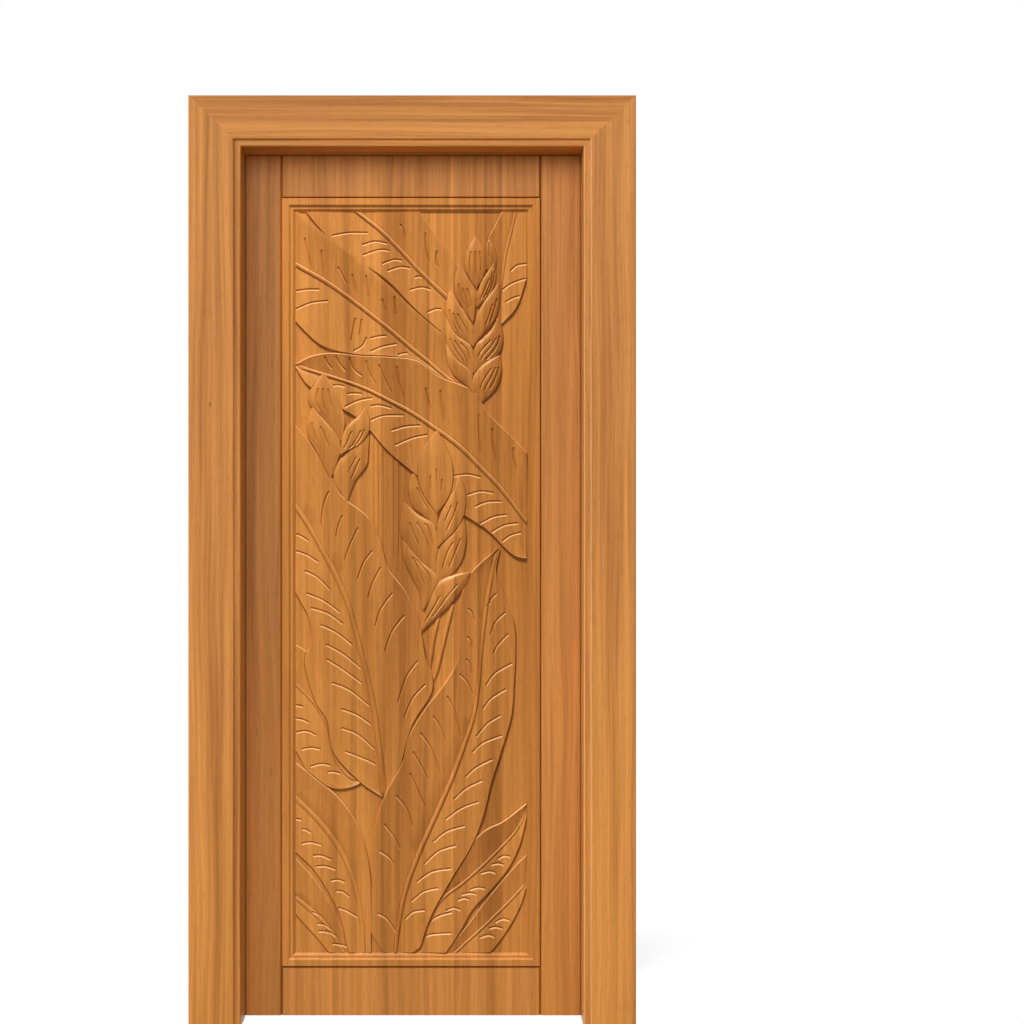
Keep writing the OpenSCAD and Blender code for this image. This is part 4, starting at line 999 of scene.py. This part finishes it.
def vein_tree():
    """Geometry nodes: a V shaped cutter along every stroke, narrowing as its taper says."""
    w, given, made = group(
        "Vein Cutters", (("Strokes", "Geometry"), ("Width", "Float"), ("Depth", "Float"), ("Finish", "Material")),
        (("Cutters", "Geometry"),), "Geometry",
    )
    curve = w.node("GeometryNodeMeshToCurve", {"Mesh": given["Strokes"]}).outputs["Curve"]
    taper = w.node("GeometryNodeInputNamedAttribute", {"Name": "taper"}, data_type="FLOAT").outputs["Attribute"]
    curve = w.node("GeometryNodeSetCurveRadius", {"Curve": curve, "Radius": taper}).outputs["Curve"]
    curve = w.node("GeometryNodeSetCurveNormal", {"Curve": curve, "Normal": (0, 1, 0)}, mode="FREE").outputs["Curve"]
    profile = w.node("GeometryNodeCurvePrimitiveCircle", {"Resolution": 3, "Radius": 1.0}).outputs["Curve"]
    # the triangle's point lies one depth in, its mouth is as wide as the cut at the surface
    mouth = w.math("MULTIPLY", given["Width"], 0.75 / math.sin(math.radians(60)))
    size = w.node("ShaderNodeCombineXYZ", {"X": given["Depth"], "Y": mouth, "Z": 1.0}).outputs["Vector"]
    profile = w.node("GeometryNodeTransform", {"Geometry": profile, "Scale": size}).outputs["Geometry"]
    sweep = w.node("GeometryNodeCurveToMesh", {"Curve": curve, "Profile Curve": profile, "Fill Caps": True})
    finish_tree(w, sweep.outputs["Mesh"], given, made["Cutters"])
    return w.tree


def stroke_taper(along, steep):
    """Width of a stroke, from its upper end: steep ones start with a stop cut and fade, others swell."""
    if steep:
        return 1.0 if along < STOP_LENGTH else FADE_LEAST + FADE_ADDED * (1 - along) ** FADE_CURVE
    return SWELL_LEAST + SWELL_ADDED * min(1.0, SWELL_IN * along, SWELL_OUT * (1 - along)) ** SWELL_CURVE


def cut_along(form, strokes, tree, width, depth, finish):
    """Form with cuts along strokes of the drawing, laid on its surface."""
    skin = BVHTree.FromPolygons([v.co for v in form.vertices], [p.vertices for p in form.polygons])
    verts, edges, tapers = [], [], []
    for points in strokes:
        hits = [skin.ray_cast(on_board(p, ABOVE_CARVING), Vector((0, 1, 0)))[0] for p in points]
        hits = [h for h in hits if h is not None and h.y < GROUND - LOWEST_CUT]
        if len(hits) < FEWEST_POINTS:
            continue
        last = len(hits) - 1
        if points[0][1] < points[-1][1]:
            hits.reverse()
        steep = abs(points[0][1] - points[-1][1]) > STEEP * abs(points[0][0] - points[-1][0])
        edges += [(len(verts) + i, len(verts) + i + 1) for i in range(last)]
        verts += hits
        tapers += [stroke_taper(i / last, steep) for i in range(last + 1)]
    if not verts:
        return form
    mesh = bpy.data.meshes.new("strokes")
    mesh.from_pydata(verts, edges, [])
    mesh.attributes.new("taper", "FLOAT", "POINT").data.foreach_set("value", tapers)
    tool = shaped_by(linked("strokes", mesh), tree, Width=width, Depth=depth, Finish=finish)
    return combined(form, tool, "DIFFERENCE")


def gouge_points(rows, side, start, end):
    """Points of a gouge cut that runs along a bract at one side of its middle."""
    out = []
    for k in range(GOUGE_STEPS + 1):
        a, m, b = row_points(rows[round((start + (end - start) * k / GOUGE_STEPS) * (len(rows) - 1))])
        out.append(part_way(m, a if side < 0 else b, abs(side)))
    return out


# Materials

STAVE_SHIFT = 19 * MM
PORE = (0.12, 0.04, 0.012, 1.0)
KNOT = (0.10, 0.03, 0.008, 1.0)
# Painted shade for slopes that lean down, painted highlight for slopes that lean up.
PAINTED_SLOPE_SHADE = (0.66, 0.55, 0.40, 1.0)
PAINTED_SLOPE_HIGHLIGHT = (0.82, 0.46, 0.19, 1.0)
# Painted highlight for arrises and faces turned to the left, towards the side lamp.
PAINTED_LEFT_HIGHLIGHT = (0.86, 0.52, 0.23, 1.0)
# Dark oil of the joints, also used as painted shade in them and along the stops.
OIL_AND_SHADE = (0.09, 0.030, 0.006, 1.0)
# Marks of the grain: stretch across, in depth and along, detail, roughness, and the range that shows.
GRAIN = {
    "rings": ((110.0, 70.0, 1.6), 3.0, 0.6, 0.32, 0.68),
    "fine": ((420.0, 300.0, 5.0), 2.0, 0.6, 0.25, 0.75),
    "streak": ((38.0, 28.0, 0.8), 2.0, 0.5, 0.40, 0.66),
    "pores": ((900.0, 700.0, 26.0), 1.0, 0.5, 0.60, 0.70),
}


def teak_figure():
    """Node group: colour, gloss and height of teak whose grain runs along the vector's Z."""
    w, given, made = group(
        "Teak Figure",
        (
            ("Vector", "Vector"), ("Light", "Color"), ("Dark", "Color"), ("Stave", "Float", 0.057),
            ("Stave Contrast", "Float", 0.5), ("Figure", "Float", 1.0), ("Seed", "Float", 0.0),
        ),
        (("Color", "Color"), ("Roughness", "Float"), ("Height", "Float")),
    )
    index = w.math("FLOOR", w.math("DIVIDE", w.axes(given["Vector"])["X"], given["Stave"]))
    index = w.math("ADD", index, given["Seed"])
    stave = w.node("ShaderNodeTexWhiteNoise", {"W": index}, noise_dimensions="1D").outputs
    spot = w.vector("ADD", given["Vector"], w.vector("MULTIPLY", stave["Color"], (3.0, 5.0, 7.0)))
    # slow wander of the grain along the length
    sway = w.math("SUBTRACT", w.noise(spot, (9.0, 9.0, 1.6), 1.0), 0.5)
    wander = w.node("ShaderNodeCombineXYZ", {"X": w.math("MULTIPLY", sway, 0.035)}).outputs[0]
    grain = w.vector("ADD", spot, wander)
    rings, fine, streak, pores = (w.spread(w.noise(grain, *mark[:3]), *mark[3:]) for mark in GRAIN.values())
    broad = w.math("SUBTRACT", w.noise(spot, (7.0, 7.0, 1.1)), 0.5)
    tone = w.math("MULTIPLY", w.math("SUBTRACT", stave["Value"], 0.5), given["Stave Contrast"])
    fac = w.weighted((rings, 0.40), (fine, 0.20), (streak, 0.42), (broad, 0.45))
    fac = w.math("MULTIPLY", w.math("SUBTRACT", fac, 0.45), given["Figure"])
    fac = w.math("ADD", w.math("ADD", fac, tone), 0.37, clamp=True)
    colour = w.mixed(fac, given["Light"], given["Dark"])
    colour = w.mixed(w.math("MULTIPLY", pores, 0.30), colour, PORE)
    # small dark pin knots, few and far between
    apart = w.vector("MULTIPLY", given["Vector"], (9.0, 4.0, 5.0))
    cell = w.node("ShaderNodeTexVoronoi", {"Vector": apart, "Scale": 1.0}).outputs
    chance = w.node("ShaderNodeSeparateColor", {0: cell["Color"]}).outputs[0]
    knot = w.spread(cell["Distance"], 0.018, 0.05, 1.0, 0.0)
    knot = w.math("MULTIPLY", knot, w.math("GREATER_THAN", chance, 0.66))
    w.feed(made["Color"], w.mixed(w.math("MULTIPLY", knot, 0.75), colour, KNOT))
    w.feed(made["Roughness"], w.math("ADD", w.weighted((pores, 0.14), (rings, 0.10)), 0.36))
    w.feed(made["Height"], w.weighted((fine, 0.35), (pores, -0.8), (rings, 0.25)))
    return w.tree


def chisel_marks():
    """Node group: height of the shallow facets that a chisel leaves."""
    w, given, made = group("Chisel Marks", (("Vector", "Vector"), ("Size", "Float", 0.02)), (("Height", "Float"),))
    rate = w.math("DIVIDE", 1.0, given["Size"])
    bent = w.node("ShaderNodeVectorMath", {0: given["Vector"], 3: rate}, operation="SCALE").outputs[0]
    long = w.vector("MULTIPLY", bent, (1.0, 0.4, 0.55))
    facets = w.node("ShaderNodeTexVoronoi", {"Vector": long, "Scale": 1.0}, feature="SMOOTH_F1").outputs
    soft = w.math("MULTIPLY", w.noise(bent, (0.6, 0.6, 0.4)), 0.8)
    w.feed(made["Height"], w.math("ADD", facets["Distance"], soft))
    return w.tree


def painted_slope_light():
    """Node group: shares of painted shade on faces that lean down and of painted highlight on those that lean up, as
    light from above gives.
    """
    w, given, made = group("Toned Slopes", (("Lean", "Float", 0.1),), (("Share", "Float"), ("Rubbed", "Float")))
    up = w.facing("Z")
    w.feed(made["Rubbed"], w.spread(up, 0.16, 0.52))
    level = w.math("MULTIPLY", given["Lean"], -0.2)
    w.feed(made["Share"], w.spread(w.math("MULTIPLY", up, -1.0), level, given["Lean"]))
    return w.tree


def teak(
    name, figure, light, dark, width, contrast, seed, turn=(0.0, 0.0, 0.0), strength=1.0, marks=None, slope_light=None,
    joints=None, stop_shade=None, painted_left_highlight=0.0,
):
    """Oiled teak: figure along the grain, satin gloss, chisel facets where it is carved, and painted shade and
    highlights where asked.
    """
    material = bpy.data.materials.new(name)
    w = wires_of(material)
    place = w.place()
    spot = w.axes(place)
    shift = {"Vector": place, "Location": (STAVE_SHIFT, 0.0, 0.0), "Rotation": turn}
    wood = w.node(
        "ShaderNodeGroup",
        {
            "Vector": w.node("ShaderNodeMapping", shift).outputs[0], "Light": (*light, 1.0), "Dark": (*dark, 1.0),
            "Figure": strength, "Stave": width, "Stave Contrast": contrast, "Seed": seed,
        },
        node_tree=figure,
    ).outputs
    colour = wood["Color"]
    bump = {"Height": wood["Height"], "Strength": 0.22, "Distance": 0.5 * MM}
    normal = w.node("ShaderNodeBump", bump).outputs[0]
    if marks:
        facets = w.node("ShaderNodeGroup", {"Vector": place, "Size": 0.03}, node_tree=marks).outputs["Height"]
        bump = {"Height": facets, "Strength": 0.10, "Distance": 2.0 * MM, "Normal": normal}
        normal = w.node("ShaderNodeBump", bump).outputs[0]
    if slope_light:
        slopes = w.node("ShaderNodeGroup", {"Lean": 0.1}, node_tree=slope_light).outputs
        # painted shade on slopes that lean down and painted highlight on slopes that lean up, as if lit from above
        colour = w.mixed(w.math("MULTIPLY", slopes["Share"], 0.42), colour, PAINTED_SLOPE_SHADE, "MULTIPLY")
        colour = w.mixed(w.math("MULTIPLY", slopes["Rubbed"], 0.6), colour, PAINTED_SLOPE_HIGHLIGHT)
    if joints:
        near, far = joints
        inside = w.math("MULTIPLY", w.spread(spot["Y"], *near), w.spread(spot["Y"], *far, 1.0, 0.0))
        # painted shade: lying joints, which light from above leaves darker, get more of it than upright ones
        share = w.spread(w.math("ABSOLUTE", w.facing("Z")), 0.2, 0.6, 0.12, 0.85)
        colour = w.mixed(w.math("MULTIPLY", inside, share), colour, OIL_AND_SHADE)
    if painted_left_highlight:
        # painted highlight on faces turned to the left, as the side lamp would light them
        turned = w.facing("X")
        lit_from_left = w.math("MULTIPLY", w.spread(turned, -0.5, -0.2, 1.0, 0.0), w.spread(turned, -0.98, -0.93))
        colour = w.mixed(w.math("MULTIPLY", lit_from_left, painted_left_highlight), colour, PAINTED_LEFT_HIGHLIGHT)
    if stop_shade:
        # painted shade where the face of the leaf runs in under the stops
        half, top = stop_shade
        beside = w.spread(w.math("ABSOLUTE", spot["X"]), half - 4.5 * MM, half - 1.5 * MM)
        below = w.spread(spot["Z"], top - 4.0 * MM, top - 1.0 * MM)
        face = w.spread(spot["Y"], LEAF_FACE + 0.6 * MM, LEAF_FACE + 1.6 * MM, 0.7, 0.0)
        colour = w.mixed(w.math("MULTIPLY", w.math("MAXIMUM", beside, below), face), colour, OIL_AND_SHADE)
    shader = w.node(
        "ShaderNodeBsdfPrincipled",
        {
            "Base Color": colour, "Roughness": wood["Roughness"], "Normal": normal, "Specular IOR Level": 0.2,
            "Coat Weight": 0.03, "Coat Roughness": 0.3,
        },
    )
    w.node("ShaderNodeOutputMaterial", {"Surface": shader.outputs[0]})


def brushed_brass(name, colour):
    """Lacquered brass with fine draw marks and a little tarnish."""
    w = wires_of(bpy.data.materials.new(name))
    place = w.place()
    drawn = w.noise(place, (2500.0, 2500.0, 60.0), 2.0, 0.6)
    cloud = w.noise(place, (60.0, 60.0, 60.0), 3.0, 0.6)
    tarnish = w.math("MULTIPLY", w.spread(cloud, 0.45, 0.75), 0.55)
    base = w.mixed(tarnish, (*colour, 1.0), tuple(0.45 * c for c in colour) + (1.0,))
    rough = w.math("ADD", w.math("MULTIPLY", drawn, 0.12), w.spread(cloud, 0.3, 0.8, 0.20, 0.42))
    bump = w.node("ShaderNodeBump", {"Height": drawn, "Strength": 0.08, "Distance": 0.1 * MM}).outputs[0]
    values = {"Base Color": base, "Metallic": 1.0, "Roughness": rough, "Normal": bump}
    shader = w.node("ShaderNodeBsdfPrincipled", values)
    w.node("ShaderNodeOutputMaterial", {"Surface": shader.outputs[0]})


def finishes():
    """Materials of the door, made once."""
    if "carved teak" in bpy.data.materials:
        return bpy.data.materials
    s = bpy.context.scene.door_timber
    figure = teak_figure()
    wood, casing_wood = (figure, s.light, s.dark), (figure, s.casing_light, s.casing_dark)
    level = (0.0, math.radians(90), 0.0)
    # dark oil and painted shade in the V joints, between the face of the leaf and their bottom
    joints = ((LEAF_FACE + 0.8 * MM, LEAF_FACE + 4.0 * MM), (LEAF_FACE + 8.0 * MM, LEAF_FACE + 9.0 * MM))
    # painted shade on the strip of the leaf that the stops cover, and on its rim
    stop_shade = (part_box("casing_right")[0].x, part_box("casing_head")[0].z)
    staves = {"width": s.stave, "seed": 3.0}
    solid = {"width": 0.4, "contrast": 0.1}
    wide = {"width": 0.3, "contrast": 0.1, "strength": 1.2}
    teak("carved teak", *wood, strength=0.88, contrast=0.42, marks=chisel_marks(), slope_light=painted_slope_light(), **staves)
    teak("leaf teak", *wood, strength=0.85, contrast=0.30, joints=joints, stop_shade=stop_shade, **staves)
    teak("moulding teak", *wood, strength=0.8, contrast=0.24, **staves)
    teak("upright teak", *wood, seed=11.0, **solid)
    teak("lying teak", *wood, turn=level, seed=14.0, **solid)
    teak("upright casing teak", *casing_wood, painted_left_highlight=0.6, seed=21.0, **wide)
    teak("head casing teak", *casing_wood, turn=level, seed=25.0, **wide)
    brushed_brass("hinge brass", s.brass)
    brushed_brass("screw brass", s.brass)
    return bpy.data.materials


def finished(obj, material):
    """Give an object its only material."""
    obj.data.materials.clear()
    obj.data.materials.append(material)


# Pieces

MOULDING_PLAY, WINDOW_DEPTH, NEAR = 0.3 * MM, 8 * MM, 0.1 * MM


def plain_board():
    """The panel's board with its tongue, without the carving."""
    node = frame["nodes"]["carved_panel"].data
    low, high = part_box("carved_panel")
    back = [v.co for v in node.vertices if v.co.y > high.y - NEAR]
    tongue = [v.co.y for v in node.vertices if v.co.x < low.x + NEAR]
    xs, zs = [c.x for c in back], [c.z for c in back]
    return combined(
        block("board", (min(xs), GROUND, min(zs)), (max(xs), high.y, max(zs))),
        block("tongue", (low.x, min(tongue), low.z), (high.x, max(tongue), high.z)),
        "UNION",
    )


def set_in(board, form, rows, cuts):
    """Board with a form set into it, kept inside the moulding."""
    low = (ART_LEFT + MOULDING_PLAY, LEAF_FACE, ART_BOTTOM + MOULDING_PLAY)
    high = (ART_RIGHT - MOULDING_PLAY, GROUND + WINDOW_DEPTH, ART_TOP - MOULDING_PLAY)
    form = combined(form, block("window", low, high), "INTERSECT")
    board = combined(board, clearance_mesh(rows, cuts), "DIFFERENCE")
    return combined(board, form, "UNION")


class DOOR_OT_carve_panel(bpy.types.Operator):
    """Carve the fronds and flowers on the panel"""

    bl_idname = "door.carve_panel"
    bl_label = "Carve Panel"

    def execute(self, context):
        s = context.scene.door_carving
        finish = finishes()["carved teak"]
        tree = vein_tree()
        board = plain_board()
        for u in REEDS:
            path = [(u, REED_FROM + (REED_TO - REED_FROM) * k / REED_STEPS) for k in range(REED_STEPS + 1)]
            board = combined(board, ridge_mesh("reed", path, s.reed_width, s.reed_rise), "UNION")
        for stalk in STALKS:
            path = stroke_points(stalk, STALK_PITCH)
            board = combined(board, ridge_mesh("stalk", path, s.stalk_width, s.stalk_rise), "UNION")
        for frond in FRONDS:
            rows = smoothed(frond.rows, s.pitch / MM)
            strokes = [stroke_points(v, STROKE_PITCH) for v in frond.veins]
            form = cut_along(frond_mesh(frond, rows), strokes, tree, s.vein_width, s.vein_depth, finish)
            board = set_in(board, form, rows, (frond.cut_first * s.stop_cut, frond.cut_second * s.stop_cut))
        for bract in BRACTS:
            rows = smoothed(bract.rows, BRACT_PITCH)
            strokes = [gouge_points(rows, *gouge) for gouge in bract.gouges]
            form = cut_along(bract_mesh(bract, rows), strokes, tree, s.gouge_width, s.gouge_depth, finish)
            inner = inner_side(bract.rows)
            board = set_in(board, form, rows, [0.0 if inner == k else BRACT_CUT * s.stop_cut for k in (-1, 1)])
        board.name = "carved_relief"
        if "taper" in board.attributes:
            board.attributes.remove(board.attributes["taper"])
        board.shade_smooth()
        board.set_sharp_from_angle(angle=math.radians(26))
        relief = linked("carved_relief", board)
        finished(relief, finish)
        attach(relief, "leaf")
        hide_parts("carved_panel")
        return {"FINISHED"}


# Timbers by node: finish and slot.
MOULDINGS = ("moulding_left", "moulding_right", "moulding_top", "moulding_bottom")
LEAF_TIMBERS = {
    **dict.fromkeys(("hinge_stile", "lock_stile", "top_rail", "bottom_rail"), ("leaf teak", "teak_leaf")),
    **dict.fromkeys(MOULDINGS, ("moulding teak", "teak_leaf")),
}
FRAME_TIMBERS = {
    **dict.fromkeys(("hinge_jamb", "lock_jamb"), ("upright teak", "teak_frame")),
    "head_jamb": ("lying teak", "teak_frame"),
    **dict.fromkeys(("casing_left", "casing_right"), ("upright casing teak", "teak_casing")),
    "casing_head": ("head casing teak", "teak_casing"),
}


def dress_timbers(timbers, body):
    """Ease and finish a body's timbers, each in the place of its plain solid."""
    s = bpy.context.scene.door_timber
    for name, (finish, slot) in timbers.items():
        node = frame["nodes"][name]
        casing = "casing" in name
        timber = eased(node, "eased_" + name, s.casing_ease if casing else s.ease, casing)
        finished(timber, finishes()[finish])
        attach(timber, body)
        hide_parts(name)


class DOOR_OT_finish_leaf(bpy.types.Operator):
    """Ease and finish the stiles, rails and mouldings of the leaf"""

    bl_idname = "door.finish_leaf"
    bl_label = "Finish Leaf"

    def execute(self, context):
        dress_timbers(LEAF_TIMBERS, "leaf")
        return {"FINISHED"}


class DOOR_OT_finish_frame(bpy.types.Operator):
    """Ease and finish the posts and head of the frame and its casing"""

    bl_idname = "door.finish_frame"
    bl_label = "Finish Frame"

    def execute(self, context):
        dress_timbers(FRAME_TIMBERS, "frame")
        return {"FINISHED"}


class DOOR_OT_finish_hinges(bpy.types.Operator):
    """Finish the plates and pins of the hinges"""

    bl_idname = "door.finish_hinges"
    bl_label = "Finish Hinges"

    def execute(self, context):
        for name, obj in frame["nodes"].items():
            if "plate" in name or "pin" in name:
                finished(obj, finishes()["hinge brass"])
        return {"FINISHED"}


def slot_tree():
    """Geometry nodes: a blade at every screw head, each turned its own way about the screw."""
    w, given, made = group(
        "Driver Slots",
        (("Heads", "Geometry"), ("Blade", "Vector"), ("Axis", "Vector"), ("Seed", "Int"), ("Finish", "Material")),
        (("Blades", "Geometry"),), "Geometry",
    )
    blade = w.node("GeometryNodeMeshCube", {"Size": given["Blade"]}).outputs["Mesh"]
    turn = w.node("FunctionNodeRandomValue", {3: math.pi, "Seed": given["Seed"]}, data_type="FLOAT").outputs[1]
    spin = w.node("ShaderNodeVectorMath", {0: given["Axis"], "Scale": turn}, operation="SCALE").outputs["Vector"]
    values = {"Points": given["Heads"], "Instance": blade, "Rotation": spin}
    placed = w.node("GeometryNodeInstanceOnPoints", values).outputs["Instances"]
    finish_tree(w, placed, given, made["Blades"])
    return w.tree


# Screws by node: body that carries them, direction that the heads face, seed of their turns.
SCREWS = {
    "frame_hinge_screws": ("frame", (1, 0, 0), 3),
    "door_hinge_screws": ("leaf", (-1, 0, 0), 8),
    "corner_screws": ("frame", (0, 0, 1), 13),
}
# A slot runs this many times the radius of the head, so that it is open at both ends.
SLOT_REACH = 2.2


class DOOR_OT_slot_screws(bpy.types.Operator):
    """Cut a driver slot into the head of every screw"""

    bl_idname = "door.slot_screws"
    bl_label = "Slot Screws"

    def execute(self, context):
        s = context.scene.door_timber
        finish = finishes()["screw brass"]
        tree = slot_tree()
        across = Vector((0, 1, 0))
        for name, (body, facing, seed) in SCREWS.items():
            facing = Vector(facing)
            plain = frame["nodes"][name].data
            heads, reach = [], 0
            for corners in islands(plain):
                top = max(c.dot(facing) for c in corners)
                rim = [c for c in corners if c.dot(facing) > top - WELD]
                heads.append(sum(rim, Vector()) / len(rim))
                reach = max((c - heads[-1]).length for c in rim)
            points = bpy.data.meshes.new("heads")
            points.from_pydata(heads, [], [])
            blade = SLOT_REACH * reach * across + s.slot_depth * 2 * Vector(abs(c) for c in facing)
            blade += s.slot_width * Vector(1 - abs(c) - d for c, d in zip(facing, across))
            blades = shaped_by(linked("heads", points), tree, Blade=blade, Axis=facing, Seed=seed, Finish=finish)
            slotted = combined(mesh_of(welded(plain), plain.name), blades, "DIFFERENCE")
            screws = linked("slotted_" + name, slotted)
            screws.data.name = screws.name
            screws.data.shade_smooth()
            screws.data.set_sharp_from_angle(angle=math.radians(30))
            finished(screws, finish)
            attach(screws, body)
            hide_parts(name)
        return {"FINISHED"}


# Studio

# Lamps: angular size in degrees and heading.
SIDE_LAMP = (30.0, (0.78, 0.58, -0.22))
FRONT_LAMP = (50.0, (0.05, 0.93, -0.36))
CARVING_LAMP = (10.0, (0.26, 0.52, -0.81))
GLOW_SIZE, GLOW_PLACE, GLOW_HEADING = 0.5, (-0.24, -0.62, 2.6), (0.26, 0.65, -1.0)
FLOOR_LOW, FLOOR_HIGH = (-6, -6, -0.05), (6, 6, 0.0)
PALE, PALE_GRIT = (0.86, 0.86, 0.85, 1.0), (0.80, 0.80, 0.79, 1.0)
FLOOR_GLOW = (0.22, 0.21, 0.20, 1.0)
# The camera looks straight at the door, and its axis meets the picture at this point.
PICTURE, AXIS_ACROSS, AXIS_DOWN = 1024, 455, 580
CAMERA_PLACE, SENSOR = (0.0985, -4.226, 1.0284), 36.0


def aimed(lamp, heading):
    """Turn a lamp to shine along a heading."""
    lamp.rotation_euler = Vector(heading).to_track_quat("-Z", "Y").to_euler()
    return lamp


def sun(name, strength, spread, heading):
    """Sun lamp of a strength and an angular size in degrees, shining along a heading."""
    data = bpy.data.lights.new(name, "SUN")
    data.energy = strength
    data.angle = math.radians(spread)
    return aimed(linked(name, data), heading)


def kept_out(name, objects):
    """Collection that leaves these objects out of a lamp's light or shadow."""
    collection = bpy.data.collections.new(name)
    for obj in objects:
        collection.objects.link(obj)
    for entry in collection.collection_objects:
        entry.light_linking.link_state = "EXCLUDE"
    return collection


def studio_world(s, white):
    """Even light, stronger behind the door, in front of a white backdrop."""
    world = bpy.data.worlds.new("studio")
    w = wires_of(world)
    behind = w.axes(w.node("ShaderNodeTexCoord").outputs["Generated"])["Y"]
    level = w.spread(behind, 0.1, 0.9, s.fill, s.fill * (1 + s.back))
    even = w.node("ShaderNodeBackground", {"Color": (1.0, 1.0, 1.0, 1.0), "Strength": level}).outputs[0]
    shown = w.node("ShaderNodeBackground", {"Color": white, "Strength": 1.0}).outputs[0]
    both = w.node("ShaderNodeMixShader", {0: w.looked_at(), 1: even, 2: shown})
    w.node("ShaderNodeOutputWorld", {"Surface": both.outputs[0]})
    return world


def pale_floor(white):
    """Material of the floor: pale and matte near the door, white away from it."""
    material = bpy.data.materials.new("pale floor")
    w = wires_of(material)
    place = w.place()
    away = w.node("ShaderNodeVectorMath", {0: place}, operation="LENGTH").outputs["Value"]
    grit = w.math("MULTIPLY", w.noise(place, (40.0, 40.0, 40.0), 3.0), 0.1)
    seen = w.looked_at()
    ground = w.mixed(seen, FLOOR_GLOW, w.mixed(grit, PALE, PALE_GRIT))
    matte = w.node("ShaderNodeBsdfDiffuse", {"Color": ground}).outputs[0]
    blank = w.node("ShaderNodeEmission", {"Color": white, "Strength": 1.0}).outputs[0]
    clear = w.math("MULTIPLY", seen, w.spread(away, 0.35, 1.3, 0.5, 1.0))
    both = w.node("ShaderNodeMixShader", {0: clear, 1: matte, 2: blank})
    w.node("ShaderNodeOutputMaterial", {"Surface": both.outputs[0]})
    return material


class DOOR_OT_set_studio(bpy.types.Operator):
    """Set the floor, the light and the camera"""

    bl_idname = "door.set_studio"
    bl_label = "Set Studio"

    def execute(self, context):
        scene = context.scene
        s = scene.door_studio
        scene.view_settings.view_transform = "Standard"
        white = (*s.backdrop, 1.0)
        scene.world = studio_world(s, white)
        floor = linked("floor", block("floor", FLOOR_LOW, FLOOR_HIGH))
        finished(floor, pale_floor(white))

        side = sun("side lamp", s.side, *SIDE_LAMP)
        front = sun("front lamp", s.front, *FRONT_LAMP)
        carving = sun("carving light", s.carving_light, *CARVING_LAMP)
        data = bpy.data.lights.new("upper glow", "AREA")
        data.energy = s.glow
        data.size = GLOW_SIZE
        glow = aimed(linked("upper glow", data), GLOW_HEADING)
        glow.location = GLOW_PLACE
        # the panel and its moulding are lit from higher up than the rest, past the head of the frame
        high = {"carved_relief", *("eased_" + name for name in MOULDINGS)}
        carved = [o for o in bpy.data.objects if o.name in high]
        others = [o for o in bpy.data.objects if o.type == "MESH" and o not in carved and o is not floor]
        for lamp in (side, front):
            lamp.light_linking.receiver_collection = kept_out("carved", carved)
        for lamp in (carving, glow):
            lamp.light_linking.receiver_collection = kept_out("plain", others)
            lamp.light_linking.blocker_collection = kept_out("hood", others)

        data = bpy.data.cameras.new("camera")
        data.lens = s.lens
        data.sensor_width = SENSOR
        data.shift_x = (PICTURE / 2 - AXIS_ACROSS) / PICTURE
        data.shift_y = (AXIS_DOWN - PICTURE / 2) / PICTURE
        camera = linked("camera", data)
        camera.location = CAMERA_PLACE
        camera.rotation_euler = (math.radians(90), 0.0, 0.0)
        scene.camera = camera
        return {"FINISHED"}


class DOOR_PT_panel(bpy.types.Panel):
    """Steps that build the door's looks, and the sizes and colours they use"""

    bl_idname = "DOOR_PT_panel"
    bl_label = "Teak Door"
    bl_space_type = "VIEW_3D"
    bl_region_type = "UI"
    bl_category = "Teak Door"

    def draw(self, context):
        layout = self.layout
        for step in STEPS:
            layout.operator(step.bl_idname)
        for settings in (context.scene.door_carving, context.scene.door_timber, context.scene.door_studio):
            box = layout.box()
            for name in settings.bl_rna.properties.keys():
                if name not in ("rna_type", "name"):
                    box.prop(settings, name)


SETTINGS = {"door_carving": CarvingSettings, "door_timber": TimberSettings, "door_studio": StudioSettings}
STEPS = (
    DOOR_OT_carve_panel, DOOR_OT_finish_leaf, DOOR_OT_finish_frame, DOOR_OT_finish_hinges, DOOR_OT_slot_screws,
    DOOR_OT_set_studio,
)


def register():
    for cls in (*SETTINGS.values(), *STEPS, DOOR_PT_panel):
        bpy.utils.register_class(cls)
    for name, cls in SETTINGS.items():
        setattr(bpy.types.Scene, name, PointerProperty(type=cls))


def unregister():
    for name in SETTINGS:
        delattr(bpy.types.Scene, name)
    for cls in (DOOR_PT_panel, *STEPS[::-1], *SETTINGS.values()):
        bpy.utils.unregister_class(cls)


def main():
    register()
    for step in STEPS:
        area, verb = step.bl_idname.split(".")
        getattr(getattr(bpy.ops, area), verb)()


if __name__ == "__main__":
    main()
